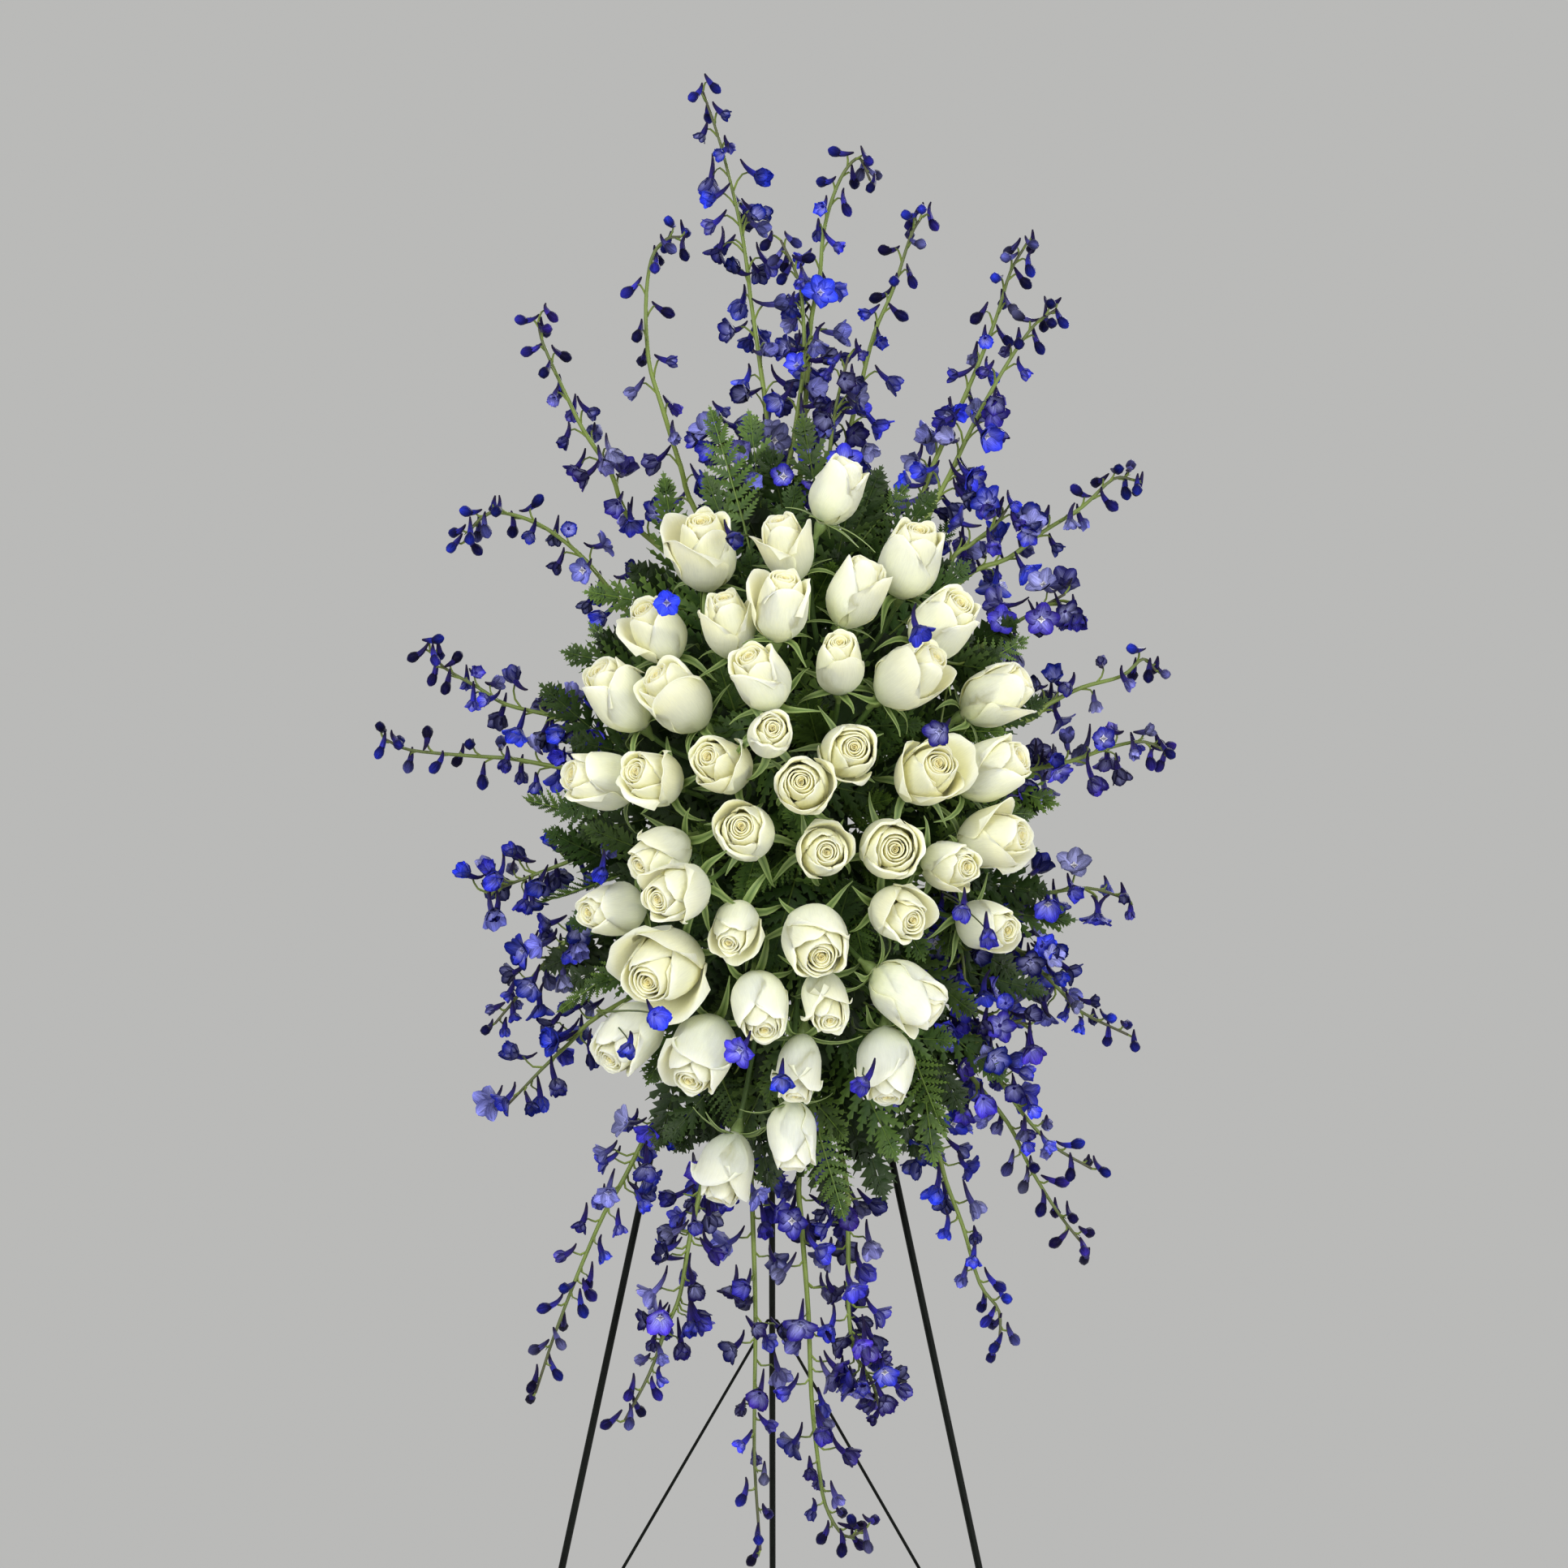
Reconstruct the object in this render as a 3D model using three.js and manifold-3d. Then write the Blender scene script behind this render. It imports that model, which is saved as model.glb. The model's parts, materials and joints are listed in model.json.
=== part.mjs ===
// A standing funeral spray: white roses, blue delphiniums and leatherleaf fern, set in a caged block
// of floral foam that hangs on a folding wire easel.
// Millimetres, +Z up, front towards -Y. The easel's own frame has its origin on the floor below the
// easel's top, and the whole is then shifted so that the origin is the middle of its base.
import * as THREE from "three";
import { mergeVertices } from "three/addons/utils/BufferGeometryUtils.js";
import Module from "manifold-3d";

const wasm = await Module();
wasm.setup();

// Driving dimensions of the easel
const EASEL_HEIGHT = 1372;
const ROD_RADIUS = 3.175;
const ROD_SIDES = 8;
const TOP_HALF_WIDTH = 14;
const FOOT_HALF_WIDTH = 305;
const FRONT_FOOT_Y = -200;
const BACK_FOOT_Y = 420;
const HINGE_HEIGHT = 1360;
const HINGE_PIN_RADIUS = 2.6;
const HINGE_EYE_INNER = 3;
const HINGE_EYE_OUTER = 7.5;
const HINGE_EYE_WIDTH = 7;
const SPREADER_END_HEIGHT = 440;
const SPREADER_TOP_HEIGHT = 712;
const SPREADER_WIRE_RADIUS = 1.6;
const SPREADER_PIN_RADIUS = 1.5;
const SPREADER_EYE_INNER = 1.9;
const SPREADER_EYE_OUTER = 4.4;
const SPREADER_EYE_WIDTH = 3;
const SPREADER_EYE_PLAY = 1.3;
const CROSS_BAR_RADIUS = 2.5;
const CROSS_BAR_PAST_LEG = 6;
const PRONG_HEIGHT = 12;
const PRONG_BEND = 2;
const HOOK_RADIUS = 1.5;
const HOOK_FOOT_HEIGHT = 1310;
const HOOK_BEND_HEIGHT = 1340;
const HOOK_BESIDE_EYE = 3.5;
const TOUCH = 0.3;

// Driving dimensions of the foam and its cage
const FOAM_X = 10;
const FOAM_WIDTH = 110;
const FOAM_HEIGHT = 300;
const FOAM_DEPTH = 76;
const FOAM_BACK_Y = -54;
const FOAM_MIDDLE_HEIGHT = 1228;
const CAGE_WALL = 3;
const CAGE_ROWS = 5;
const ROW_PITCH = 58;
const WINDOW_HEIGHT = 48;
const WINDOW_NEAR_X = 4;
const WINDOW_FAR_X = 50;
const WINDOW_DEPTH = 56;
const SHARED_STEM_RADIUS = 4.6;
const STEM_SIDES = 3;
const SHARED_STEM_OUT = 12;
const STEM_SUNK = 3;
const ROOT_RADIUS = 1.7;
const ROOT_ASIDE = 1.2;
const FRONT_HOLE_DEPTH = 30;
const SIDE_HOLE_DEPTH = 18;
const SIDE_HOLE_Y = -86;
const HOLE_UP = 13;
const FRONT_HOLES_X = [-38, -16, 16, 38];
const END_HOLES_X = [-29, -10, 10, 29];

// The middle of the whole spray's base in the easel's own frame
const MIDDLE_X = 7;
const MIDDLE_Y = 28;

// The photograph's frame: 1932 pixels square, seen level from the front
const PHOTO_MIDDLE = 966;
const MM_PER_PIXEL = 0.76;
const VIEW_DISTANCE = 2300;
const VIEW_X = 12;
const VIEW_HEIGHT = 1261;

// Driving dimensions of the flowers
const ROSE_LENGTH = 66;
const ROSE_HALF_PIXELS = 49;
const ROSE_LENGTH_SPREAD = 6;
const ROSE_LENGTH_PER_RADIUS = 2.75;
const ROSE_MIDDLE_SHARE = 0.52;
const ROSE_FLATTEST = 0.97;
const ROSE_STEM_RADIUS = 2.6;
const ROSE_MIDDLE = { at: [985, 1010], wide: 300, high: 500 };
const ROSE_NEAR = 150;
const ROSE_BULGE = 150;
const FLORET_RADIUS = 12.5;
const BUD_RADIUS = 4.2;
const SPIRE_FOOT_RADIUS = 2.6;
const SPIRE_TIP_RADIUS = 1.5;
const LONGEST_STRETCH = 110;
const STRAIGHT_ENOUGH = 0.968;
const FIRST_SEEN = 8;
const FLORET_REACH = [17, 24];
const FLORET_SIZES = [0.82, 1.08];
const BUD_REACH = [15, 7];
const BUD_SIZES = [1, 0.65];
const FLORET_STALK_RADIUS = 0.8;
const FROND_THICKNESS = 0.8;
const FROND_STEM_RADIUS = 1.2;
const GOLDEN_ANGLE = 2.39996;
const ENOUGH = 1.6;
const JUST_CLEAR = 0.4;
const LEG_CLEAR = 10;
const BUILT_EVERY = 6;
const LARGER_THAN_LIFE = [1.8, 1.65, 1.5, 1.35, 1.2, 1.1];
const FROND_PAIRS = 5;
const MERGE_DISTANCE = 1e-4;

// Roses, two or so to a shared hole: the middle of each bloom, its tip and its width, in pixels
const ROSES = [
  [{ at: [1032, 605], tip: [1054, 560], wide: 64 }, { at: [1055, 730], tip: [1075, 685], wide: 68 }],
  [{ at: [868, 680], tip: [864, 642], wide: 78 }, { at: [898, 770], tip: [891, 729], wide: 62 }],
  [{ at: [970, 675], tip: [957, 634], wide: 60 }, { at: [962, 747], tip: [968, 706], wide: 68 }],
  [{ at: [1122, 690], tip: [1133, 652], wide: 76 }, { at: [1160, 770], tip: [1185, 741], wide: 74 }],
  [{ at: [810, 778], tip: [790, 745], wide: 66 }, { at: [835, 860], tip: [805, 828], wide: 74 }],
  [{ at: [938, 835], tip: [919, 803], wide: 68 }, { at: [949, 904], tip: [953, 896], wide: 56 }],
  [{ at: [1034, 818], tip: [1034, 785], wide: 60 }, { at: [1045, 926], tip: [1053, 920], wide: 70 }],
  [{ at: [1122, 833], tip: [1156, 808], wide: 76 }, { at: [1142, 953], tip: [1156, 939], wide: 76 }],
  [{ at: [1227, 857], tip: [1272, 830], wide: 70 }, { at: [1221, 949], tip: [1260, 931], wide: 74 }],
  [{ at: [763, 858], tip: [736, 823], wide: 74 }, { at: [741, 961], tip: [700, 952], wide: 72 }],
  [{ at: [805, 959], tip: [779, 948], wide: 66 }, { at: [889, 943], tip: [868, 930], wide: 68 }],
  [{ at: [990, 968], tip: [986, 962], wide: 70 }, { at: [1014, 1050], tip: [1019, 1049], wide: 64 }],
  [{ at: [919, 1025], tip: [912, 1016], wide: 70 }, { at: [906, 1143], tip: [897, 1165], wide: 58 }],
  [{ at: [1097, 1046], tip: [1102, 1045], wide: 76 }, { at: [1171, 1067], tip: [1195, 1067], wide: 62 }],
  [{ at: [1224, 1033], tip: [1264, 1028], wide: 70 }, { at: [1216, 1140], tip: [1248, 1146], wide: 62 }],
  [{ at: [814, 1052], tip: [782, 1070], wide: 62 }, { at: [834, 1100], tip: [808, 1108], wide: 72 }],
  [{ at: [755, 1121], tip: [718, 1124], wide: 66 }, { at: [776, 1277], tip: [750, 1306], wide: 74 }],
  [{ at: [1005, 1160], tip: [1012, 1178], wide: 84 }, { at: [1017, 1232], tip: [1024, 1262], wide: 56 }],
  [{ at: [1107, 1125], tip: [1128, 1134], wide: 66 }, { at: [1117, 1225], tip: [1156, 1253], wide: 74 }],
  [{ at: [819, 1191], tip: [798, 1209], wide: 96 }, { at: [865, 1298], tip: [849, 1332], wide: 80 }],
  [{ at: [937, 1239], tip: [943, 1271], wide: 72 }, { at: [896, 1440], tip: [884, 1485], wide: 66 }],
  [{ at: [985, 1316], tip: [979, 1358], wide: 54 }, { at: [976, 1400], tip: [977, 1446], wide: 62 }],
  [{ at: [1092, 1313], tip: [1092, 1356], wide: 72 }],
];

// Delphiniums: each stem's way in pixels out to its tip, how far forward it starts and ends in mm,
// and how many florets it carries, of which the first are open and the others buds
const SPIRES = [
  [
    {
      way: [[945, 640], [944, 516], [937, 453], [926, 376], [916, 298], [901, 228], [884, 165], [866, 113]],
      forward: [105, 70],
      florets: 27,
      open: 20,
    },
    { way: [[915, 660], [902, 600], [892, 545], [880, 520]], forward: [120, 110], florets: 12, open: 9 },
  ],
  [
    {
      way: [[985, 600], [992, 500], [996, 439], [1000, 390], [1010, 340], [1014, 291], [1024, 249],
        [1040, 212], [1059, 195], [1072, 222]],
      forward: [95, 75],
      florets: 21,
      open: 9,
    },
    {
      way: [[968, 610], [978, 540], [990, 450], [989, 382], [982, 340], [962, 296]],
      forward: [112, 100],
      florets: 24,
      open: 12,
    },
  ],
  [
    {
      way: [[1030, 620], [1042, 551], [1059, 481], [1077, 411], [1101, 355], [1122, 291], [1135, 268]],
      forward: [100, 75],
      florets: 24,
      open: 9,
    },
    { way: [[1018, 640], [1022, 560], [1030, 500], [1045, 440]], forward: [122, 108], florets: 12, open: 9 },
  ],
  [
    {
      way: [[857, 627], [838, 572], [814, 495], [800, 446], [796, 376], [803, 319], [821, 295], [838, 292]],
      forward: [100, 85],
      florets: 18,
      open: 3,
    },
    {
      way: [[786, 649], [751, 579], [719, 530], [695, 481], [670, 425], [663, 397]],
      forward: [110, 95],
      florets: 18,
      open: 6,
    },
  ],
  [
    {
      way: [[1140, 600], [1175, 520], [1205, 450], [1228, 390], [1245, 335], [1265, 300]],
      forward: [98, 80],
      florets: 21,
      open: 6,
    },
    {
      way: [[1138, 650], [1170, 585], [1205, 512], [1243, 445], [1275, 400], [1300, 382]],
      forward: [118, 108],
      florets: 21,
      open: 9,
    },
  ],
  [
    {
      way: [[1180, 720], [1242, 688], [1284, 656], [1333, 625], [1372, 590], [1400, 592]],
      forward: [105, 95],
      florets: 18,
      open: 6,
    },
    { way: [[1165, 700], [1195, 672], [1225, 648], [1240, 628]], forward: [128, 125], florets: 9, open: 6 },
  ],
  [
    {
      way: [[790, 773], [750, 724], [711, 680], [662, 645], [611, 631], [586, 645], [572, 668]],
      forward: [105, 95],
      florets: 21,
      open: 6,
    },
  ],
  [
    {
      way: [[765, 917], [716, 893], [681, 882], [624, 868], [589, 847], [548, 823], [530, 800]],
      forward: [110, 100],
      florets: 24,
      open: 12,
    },
    {
      way: [[731, 950], [681, 944], [631, 935], [575, 931], [505, 924], [473, 910]],
      forward: [118, 110],
      florets: 18,
      open: 3,
    },
  ],
  [
    { way: [[760, 1040], [700, 1062], [645, 1083], [600, 1100]], forward: [112, 105], florets: 12, open: 12 },
    {
      way: [[730, 1130], [702, 1156], [667, 1191], [640, 1225], [610, 1261]],
      forward: [120, 115],
      florets: 18,
      open: 12,
    },
  ],
  [
    { way: [[740, 1250], [702, 1285], [667, 1318], [625, 1362]], forward: [118, 112], florets: 9, open: 9 },
    {
      way: [[821, 1349], [795, 1400], [770, 1450], [744, 1496], [716, 1560], [702, 1595], [681, 1651],
        [660, 1716]],
      forward: [105, 150],
      florets: 24,
      open: 9,
    },
  ],
  [
    {
      way: [[877, 1405], [863, 1468], [849, 1531], [838, 1595], [821, 1637], [800, 1693], [770, 1750]],
      forward: [120, 165],
      florets: 27,
      open: 18,
    },
    {
      way: [[925, 1420], [928, 1510], [931, 1616], [930, 1721], [930, 1805], [937, 1910]],
      forward: [105, 160],
      florets: 21,
      open: 12,
    },
  ],
  [
    {
      way: [[985, 1440], [988, 1510], [996, 1616], [1000, 1721], [1007, 1791], [1017, 1854], [1040, 1892],
        [1064, 1886]],
      forward: [120, 170],
      florets: 27,
      open: 15,
    },
    {
      way: [[1040, 1440], [1045, 1520], [1045, 1602], [1052, 1665], [1073, 1700], [1084, 1736]],
      forward: [115, 150],
      florets: 24,
      open: 21,
    },
  ],
  [
    {
      way: [[1130, 1350], [1151, 1398], [1165, 1454], [1186, 1510], [1207, 1581], [1231, 1616], [1231, 1660]],
      forward: [105, 150],
      florets: 21,
      open: 9,
    },
    {
      way: [[1170, 1280], [1193, 1321], [1242, 1384], [1270, 1440], [1305, 1496], [1340, 1540]],
      forward: [110, 130],
      florets: 21,
      open: 6,
    },
  ],
  [
    {
      way: [[1190, 1270], [1225, 1320], [1260, 1372], [1298, 1412], [1345, 1440]],
      forward: [128, 135],
      florets: 15,
      open: 6,
    },
    {
      way: [[1160, 1210], [1195, 1240], [1230, 1255], [1270, 1262]],
      forward: [140, 140],
      florets: 12,
      open: 12,
    },
  ],
  [
    {
      way: [[1190, 1100], [1242, 1159], [1263, 1177], [1305, 1219], [1333, 1247], [1390, 1275]],
      forward: [108, 105],
      florets: 24,
      open: 15,
    },
    {
      way: [[1228, 1085], [1280, 1100], [1340, 1094], [1390, 1108]],
      forward: [120, 115],
      florets: 9,
      open: 6,
    },
  ],
  [
    {
      way: [[1230, 960], [1270, 949], [1319, 938], [1368, 921], [1410, 914], [1443, 930]],
      forward: [110, 100],
      florets: 21,
      open: 12,
    },
    {
      way: [[1250, 892], [1291, 868], [1333, 847], [1382, 833], [1408, 812], [1424, 826]],
      forward: [105, 95],
      florets: 12,
      open: 3,
    },
  ],
  [
    { way: [[1195, 810], [1235, 778], [1272, 755], [1312, 732]], forward: [125, 120], florets: 9, open: 9 },
    {
      way: [[1150, 1080], [1172, 1130], [1186, 1180], [1190, 1235]],
      forward: [150, 150],
      florets: 12,
      open: 12,
    },
  ],
];

// Fern fronds: the foot and tip of each blade in pixels, how far forward it starts and ends in mm
const FRONDS = [
  [
    { foot: [1055, 675], tip: [1116, 600], forward: [125, 135], wide: 62 },
    { foot: [1120, 720], tip: [1184, 628], forward: [128, 120], wide: 66 },
  ],
  [
    { foot: [915, 640], tip: [876, 506], forward: [135, 120], wide: 60 },
    { foot: [905, 875], tip: [880, 802], forward: [150, 178], wide: 42 },
  ],
  [
    { foot: [800, 845], tip: [728, 770], forward: [125, 125], wide: 60 },
    { foot: [745, 1010], tip: [648, 985], forward: [128, 125], wide: 66 },
  ],
  [
    { foot: [1180, 835], tip: [1264, 787], forward: [125, 135], wide: 58 },
    { foot: [1160, 900], tip: [1236, 902], forward: [150, 180], wide: 54 },
  ],
  [
    { foot: [1080, 940], tip: [1099, 848], forward: [170, 225], wide: 56 },
    { foot: [1040, 1000], tip: [1096, 985], forward: [180, 240], wide: 50 },
  ],
  [
    { foot: [985, 1040], tip: [925, 1095], forward: [180, 240], wide: 52 },
    { foot: [930, 900], tip: [868, 884], forward: [170, 215], wide: 50 },
  ],
  [
    { foot: [1180, 1000], tip: [1272, 1003], forward: [135, 140], wide: 56 },
    { foot: [1060, 1060], tip: [1130, 1105], forward: [170, 220], wide: 54 },
  ],
  [
    { foot: [1125, 1300], tip: [1163, 1398], forward: [130, 140], wide: 58 },
    { foot: [1010, 1400], tip: [1040, 1500], forward: [140, 155], wide: 60 },
  ],
  [
    { foot: [770, 1185], tip: [690, 1245], forward: [130, 130], wide: 60 },
    { foot: [760, 1080], tip: [668, 1112], forward: [125, 120], wide: 62 },
  ],
  [
    { foot: [965, 1130], tip: [950, 1195], forward: [170, 225], wide: 48 },
    { foot: [1050, 1120], tip: [1066, 1190], forward: [165, 215], wide: 50 },
  ],
  [
    { foot: [860, 1010], tip: [868, 1082], forward: [160, 200], wide: 50 },
    { foot: [890, 1330], tip: [920, 1400], forward: [150, 160], wide: 56 },
  ],
];

// Draws from 0 to 1, the same on every run
let seed = 20261;
function draw() {
  seed = (seed * 1664525 + 1013904223) % 4294967296;
  return seed / 4294967296;
}

function between(low, high) {
  return low + (high - low) * draw();
}

function vector(x, y, z) {
  return new THREE.Vector3(x, y, z);
}

function along(origin, direction, distance) {
  return origin.clone().addScaledVector(direction, distance);
}

// A point that the photograph shows at a pixel, so many millimetres forward of the easel's top
function seen(pixel, forward) {
  const scale = (MM_PER_PIXEL * (VIEW_DISTANCE - forward)) / VIEW_DISTANCE;
  return vector(
    VIEW_X + (pixel[0] - PHOTO_MIDDLE) * scale,
    -forward,
    VIEW_HEIGHT - (pixel[1] - PHOTO_MIDDLE) * scale,
  );
}

// Two unit vectors square to a direction and to each other
function sideways(direction) {
  const helper = Math.abs(direction.z) < 0.9 ? vector(0, 0, 1) : vector(0, 1, 0);
  const first = helper.cross(direction).normalize();
  const second = direction.clone().cross(first);
  return [first, second];
}

// How far forward the plane of the front legs lies at a height
function legForward(height) {
  return (-FRONT_FOOT_Y * (EASEL_HEIGHT - height)) / EASEL_HEIGHT;
}

// A closed three.js geometry as a solid that can be joined and cut
function solidFrom(geometry) {
  const plain = geometry.clone();
  for (const name of Object.keys(plain.attributes)) {
    if (name !== "position") {
      plain.deleteAttribute(name);
    }
  }
  const merged = mergeVertices(plain, MERGE_DISTANCE);
  const triVerts = new Uint32Array(merged.index.array);
  const vertProperties = new Float32Array(merged.attributes.position.array);
  const solid = new wasm.Manifold(new wasm.Mesh({ numProp: 3, vertProperties, triVerts }));
  if (solid.volume() > 0) {
    return solid;
  }
  const turned = triVerts.map((_, i) => triVerts[i - (i % 3) + [0, 2, 1][i % 3]]);
  return new wasm.Manifold(new wasm.Mesh({ numProp: 3, vertProperties, triVerts: turned }));
}

function joined(solids) {
  return solids.reduce((whole, solid) => whole.add(solid));
}

// The largest body of a solid: a sliver that a join leaves loose is dropped
function mainBody(solid) {
  return solid.decompose().reduce((best, body) => (body.volume() > best.volume() ? body : best));
}

function geometryOf(solid) {
  const mesh = solid.getMesh();
  const flat = new Float32Array(mesh.numVert * 3);
  for (let i = 0; i < mesh.numVert; i++) {
    for (let axis = 0; axis < 3; axis++) {
      flat[3 * i + axis] = mesh.vertProperties[mesh.numProp * i + axis];
    }
  }
  const geometry = new THREE.BufferGeometry();
  geometry.setAttribute("position", new THREE.BufferAttribute(flat, 3));
  geometry.setIndex(new THREE.BufferAttribute(mesh.triVerts, 1));
  geometry.computeVertexNormals();
  return geometry;
}

// The triangles between two rings, where the longer one has a whole multiple of the shorter's points
function bandFaces(low, lowCount, high, highCount) {
  const faces = [];
  const isWider = highCount >= lowCount;
  const [few, fewCount, many, manyCount] = isWider
    ? [low, lowCount, high, highCount]
    : [high, highCount, low, lowCount];
  const times = manyCount / fewCount;
  const add = (a, b, c) => faces.push(...(isWider ? [a, b, c] : [a, c, b]));
  for (let i = 0; i < fewCount; i++) {
    const next = (i + 1) % fewCount;
    for (let k = 0; k < times; k++) {
      const here = many + times * i + k;
      const there = many + ((times * i + k + 1) % manyCount);
      const nearest = k < times / 2 ? i : next;
      if (k === Math.ceil(times / 2)) {
        add(few + i, few + next, here);
      }
      add(few + nearest, there, here);
    }
    if (times < 2) {
      add(few + i, few + next, many + next);
    }
  }
  return faces;
}

// A closed skin over rings of points between two end points
function loft(start, rings, end) {
  const points = [start, ...rings.flat(), end];
  const last = points.length - 1;
  const faces = [];
  const first = rings[0].length;
  for (let i = 0; i < first; i++) {
    faces.push(0, 1 + ((i + 1) % first), 1 + i);
  }
  let low = 1;
  for (let k = 0; k + 1 < rings.length; k++) {
    const high = low + rings[k].length;
    faces.push(...bandFaces(low, rings[k].length, high, rings[k + 1].length));
    low = high;
  }
  const rim = rings[rings.length - 1].length;
  for (let i = 0; i < rim; i++) {
    faces.push(last, low + i, low + ((i + 1) % rim));
  }
  const geometry = new THREE.BufferGeometry().setFromPoints(points);
  geometry.setIndex(faces);
  return geometry;
}

function ring(centre, first, second, radius, sides, turn = 0) {
  const points = [];
  for (let i = 0; i < sides; i++) {
    const angle = turn + (2 * Math.PI * i) / sides;
    points.push(along(along(centre, first, radius * Math.cos(angle)), second, radius * Math.sin(angle)));
  }
  return points;
}

// Rings of points round a way, with a radius at each, all turned alike
function ringsAlong(points, radii, sides) {
  const whole = points[points.length - 1].clone().sub(points[0]).normalize();
  const [first] = sideways(whole);
  return points.map((point, i) => {
    const before = points[Math.max(i - 1, 0)];
    const after = points[Math.min(i + 1, points.length - 1)];
    const forward = after.clone().sub(before).normalize();
    const side = forward.clone().cross(first).normalize();
    return ring(point, side.clone().cross(forward), side, radii[i], sides);
  });
}

// Rings of points round a stem, narrow where it is rooted
function stemRings(points, radiusAt) {
  const last = points.length - 1;
  return ringsAlong(points, points.map((_, i) => (i ? radiusAt(i / last) : ROOT_RADIUS)), STEM_SIDES);
}

// A stalk through points, with a radius at each
function stalk(points, radii, sides) {
  return loft(points[0], ringsAlong(points, radii, sides), points[points.length - 1]);
}

// A straight round wire between two ends
function wire(ends, radius, sides) {
  const section = new THREE.Shape();
  for (let i = 0; i < sides; i++) {
    const angle = (2 * Math.PI * i) / sides;
    section[i ? "lineTo" : "moveTo"](radius * Math.cos(angle), radius * Math.sin(angle));
  }
  const extrudePath = new THREE.LineCurve3(...ends);
  return new THREE.ExtrudeGeometry(section, { steps: 1, bevelEnabled: false, extrudePath });
}

// A flat ring round the X axis through a point
function eye(centre, inner, outer, width, sides) {
  const profile = [
    new THREE.Vector2(inner, -width / 2),
    new THREE.Vector2(outer, -width / 2),
    new THREE.Vector2(outer, width / 2),
    new THREE.Vector2(inner, width / 2),
    new THREE.Vector2(inner, -width / 2),
  ];
  const geometry = new THREE.LatheGeometry(profile, sides);
  geometry.rotateZ(Math.PI / 2);
  geometry.translate(centre.x, centre.y, centre.z);
  return geometry;
}

function block(low, high) {
  const size = high.clone().sub(low);
  const geometry = new THREE.BoxGeometry(size.x, size.y, size.z);
  geometry.translate((low.x + high.x) / 2, (low.y + high.y) / 2, (low.z + high.z) / 2);
  return solidFrom(geometry);
}

const spray = new THREE.Group();
spray.name = "standing_spray";
spray.position.set(-MIDDLE_X, -MIDDLE_Y, 0);

const EASEL_BLACK = { color: 0x10140f, roughness: 0.45, metalness: 0.5 };
const CAGE_GREEN = { color: 0x1f3d24, roughness: 0.55, metalness: 0 };
const FOAM_GREEN = { color: 0x2f5d3a, roughness: 0.95, metalness: 0 };
const ROSE_IVORY = { color: 0xf1efd8, roughness: 0.6, metalness: 0 };
const DELPHINIUM_BLUE = { color: 0x2a2ab8, roughness: 0.6, metalness: 0 };
const FERN_GREEN = { color: 0x1d4a22, roughness: 0.5, metalness: 0 };

function addNode(name, solid, look) {
  const mesh = new THREE.Mesh(geometryOf(solid), new THREE.MeshStandardMaterial(look));
  mesh.name = name;
  spray.add(mesh);
}

// Half a leg's distance from the middle at a height
function legX(height) {
  return TOP_HALF_WIDTH + ((FOOT_HALF_WIDTH - TOP_HALF_WIDTH) * (EASEL_HEIGHT - height)) / EASEL_HEIGHT;
}

function legPoint(side, height) {
  return vector(side * legX(height), -legForward(height), height);
}

// A straight rod cut flat at the floor
function standingRod(top, foot) {
  const below = along(foot, foot.clone().sub(top).normalize(), 20);
  const rod = solidFrom(wire([top, below], ROD_RADIUS, ROD_SIDES));
  const floor = block(vector(-700, -700, -60), vector(700, 700, 0));
  return rod.subtract(floor);
}

function frontLeg(side) {
  const rod = standingRod(legPoint(side, EASEL_HEIGHT), legPoint(side, 0));
  const pivot = legPoint(side, SPREADER_END_HEIGHT);
  const inner = pivot.clone();
  inner.x -= side * (ROD_RADIUS + SPREADER_EYE_WIDTH + 2 * SPREADER_EYE_PLAY);
  return rod.add(solidFrom(wire([pivot, inner], SPREADER_PIN_RADIUS, 6)));
}

// The pin between the tops of the front legs, which the back leg turns on
function hingeBar() {
  const reach = legX(HINGE_HEIGHT) - ROD_RADIUS - 2 * TOUCH;
  const y = -legForward(HINGE_HEIGHT);
  const ends = [vector(-reach, y, HINGE_HEIGHT), vector(reach, y, HINGE_HEIGHT)];
  return solidFrom(wire(ends, HINGE_PIN_RADIUS, 12));
}

function backLeg() {
  const hinge = vector(0, -legForward(HINGE_HEIGHT), HINGE_HEIGHT);
  const foot = vector(0, BACK_FOOT_Y, 0);
  const down = foot.clone().sub(hinge).normalize();
  const rod = standingRod(along(hinge, down, HINGE_EYE_OUTER - 1.5), foot);
  const ringSolid = solidFrom(eye(hinge, HINGE_EYE_INNER, HINGE_EYE_OUTER, HINGE_EYE_WIDTH, 14));
  const core = solidFrom(eye(hinge, 0, HINGE_EYE_INNER, HINGE_EYE_WIDTH, 14));
  return rod.add(ringSolid).subtract(core);
}

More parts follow.
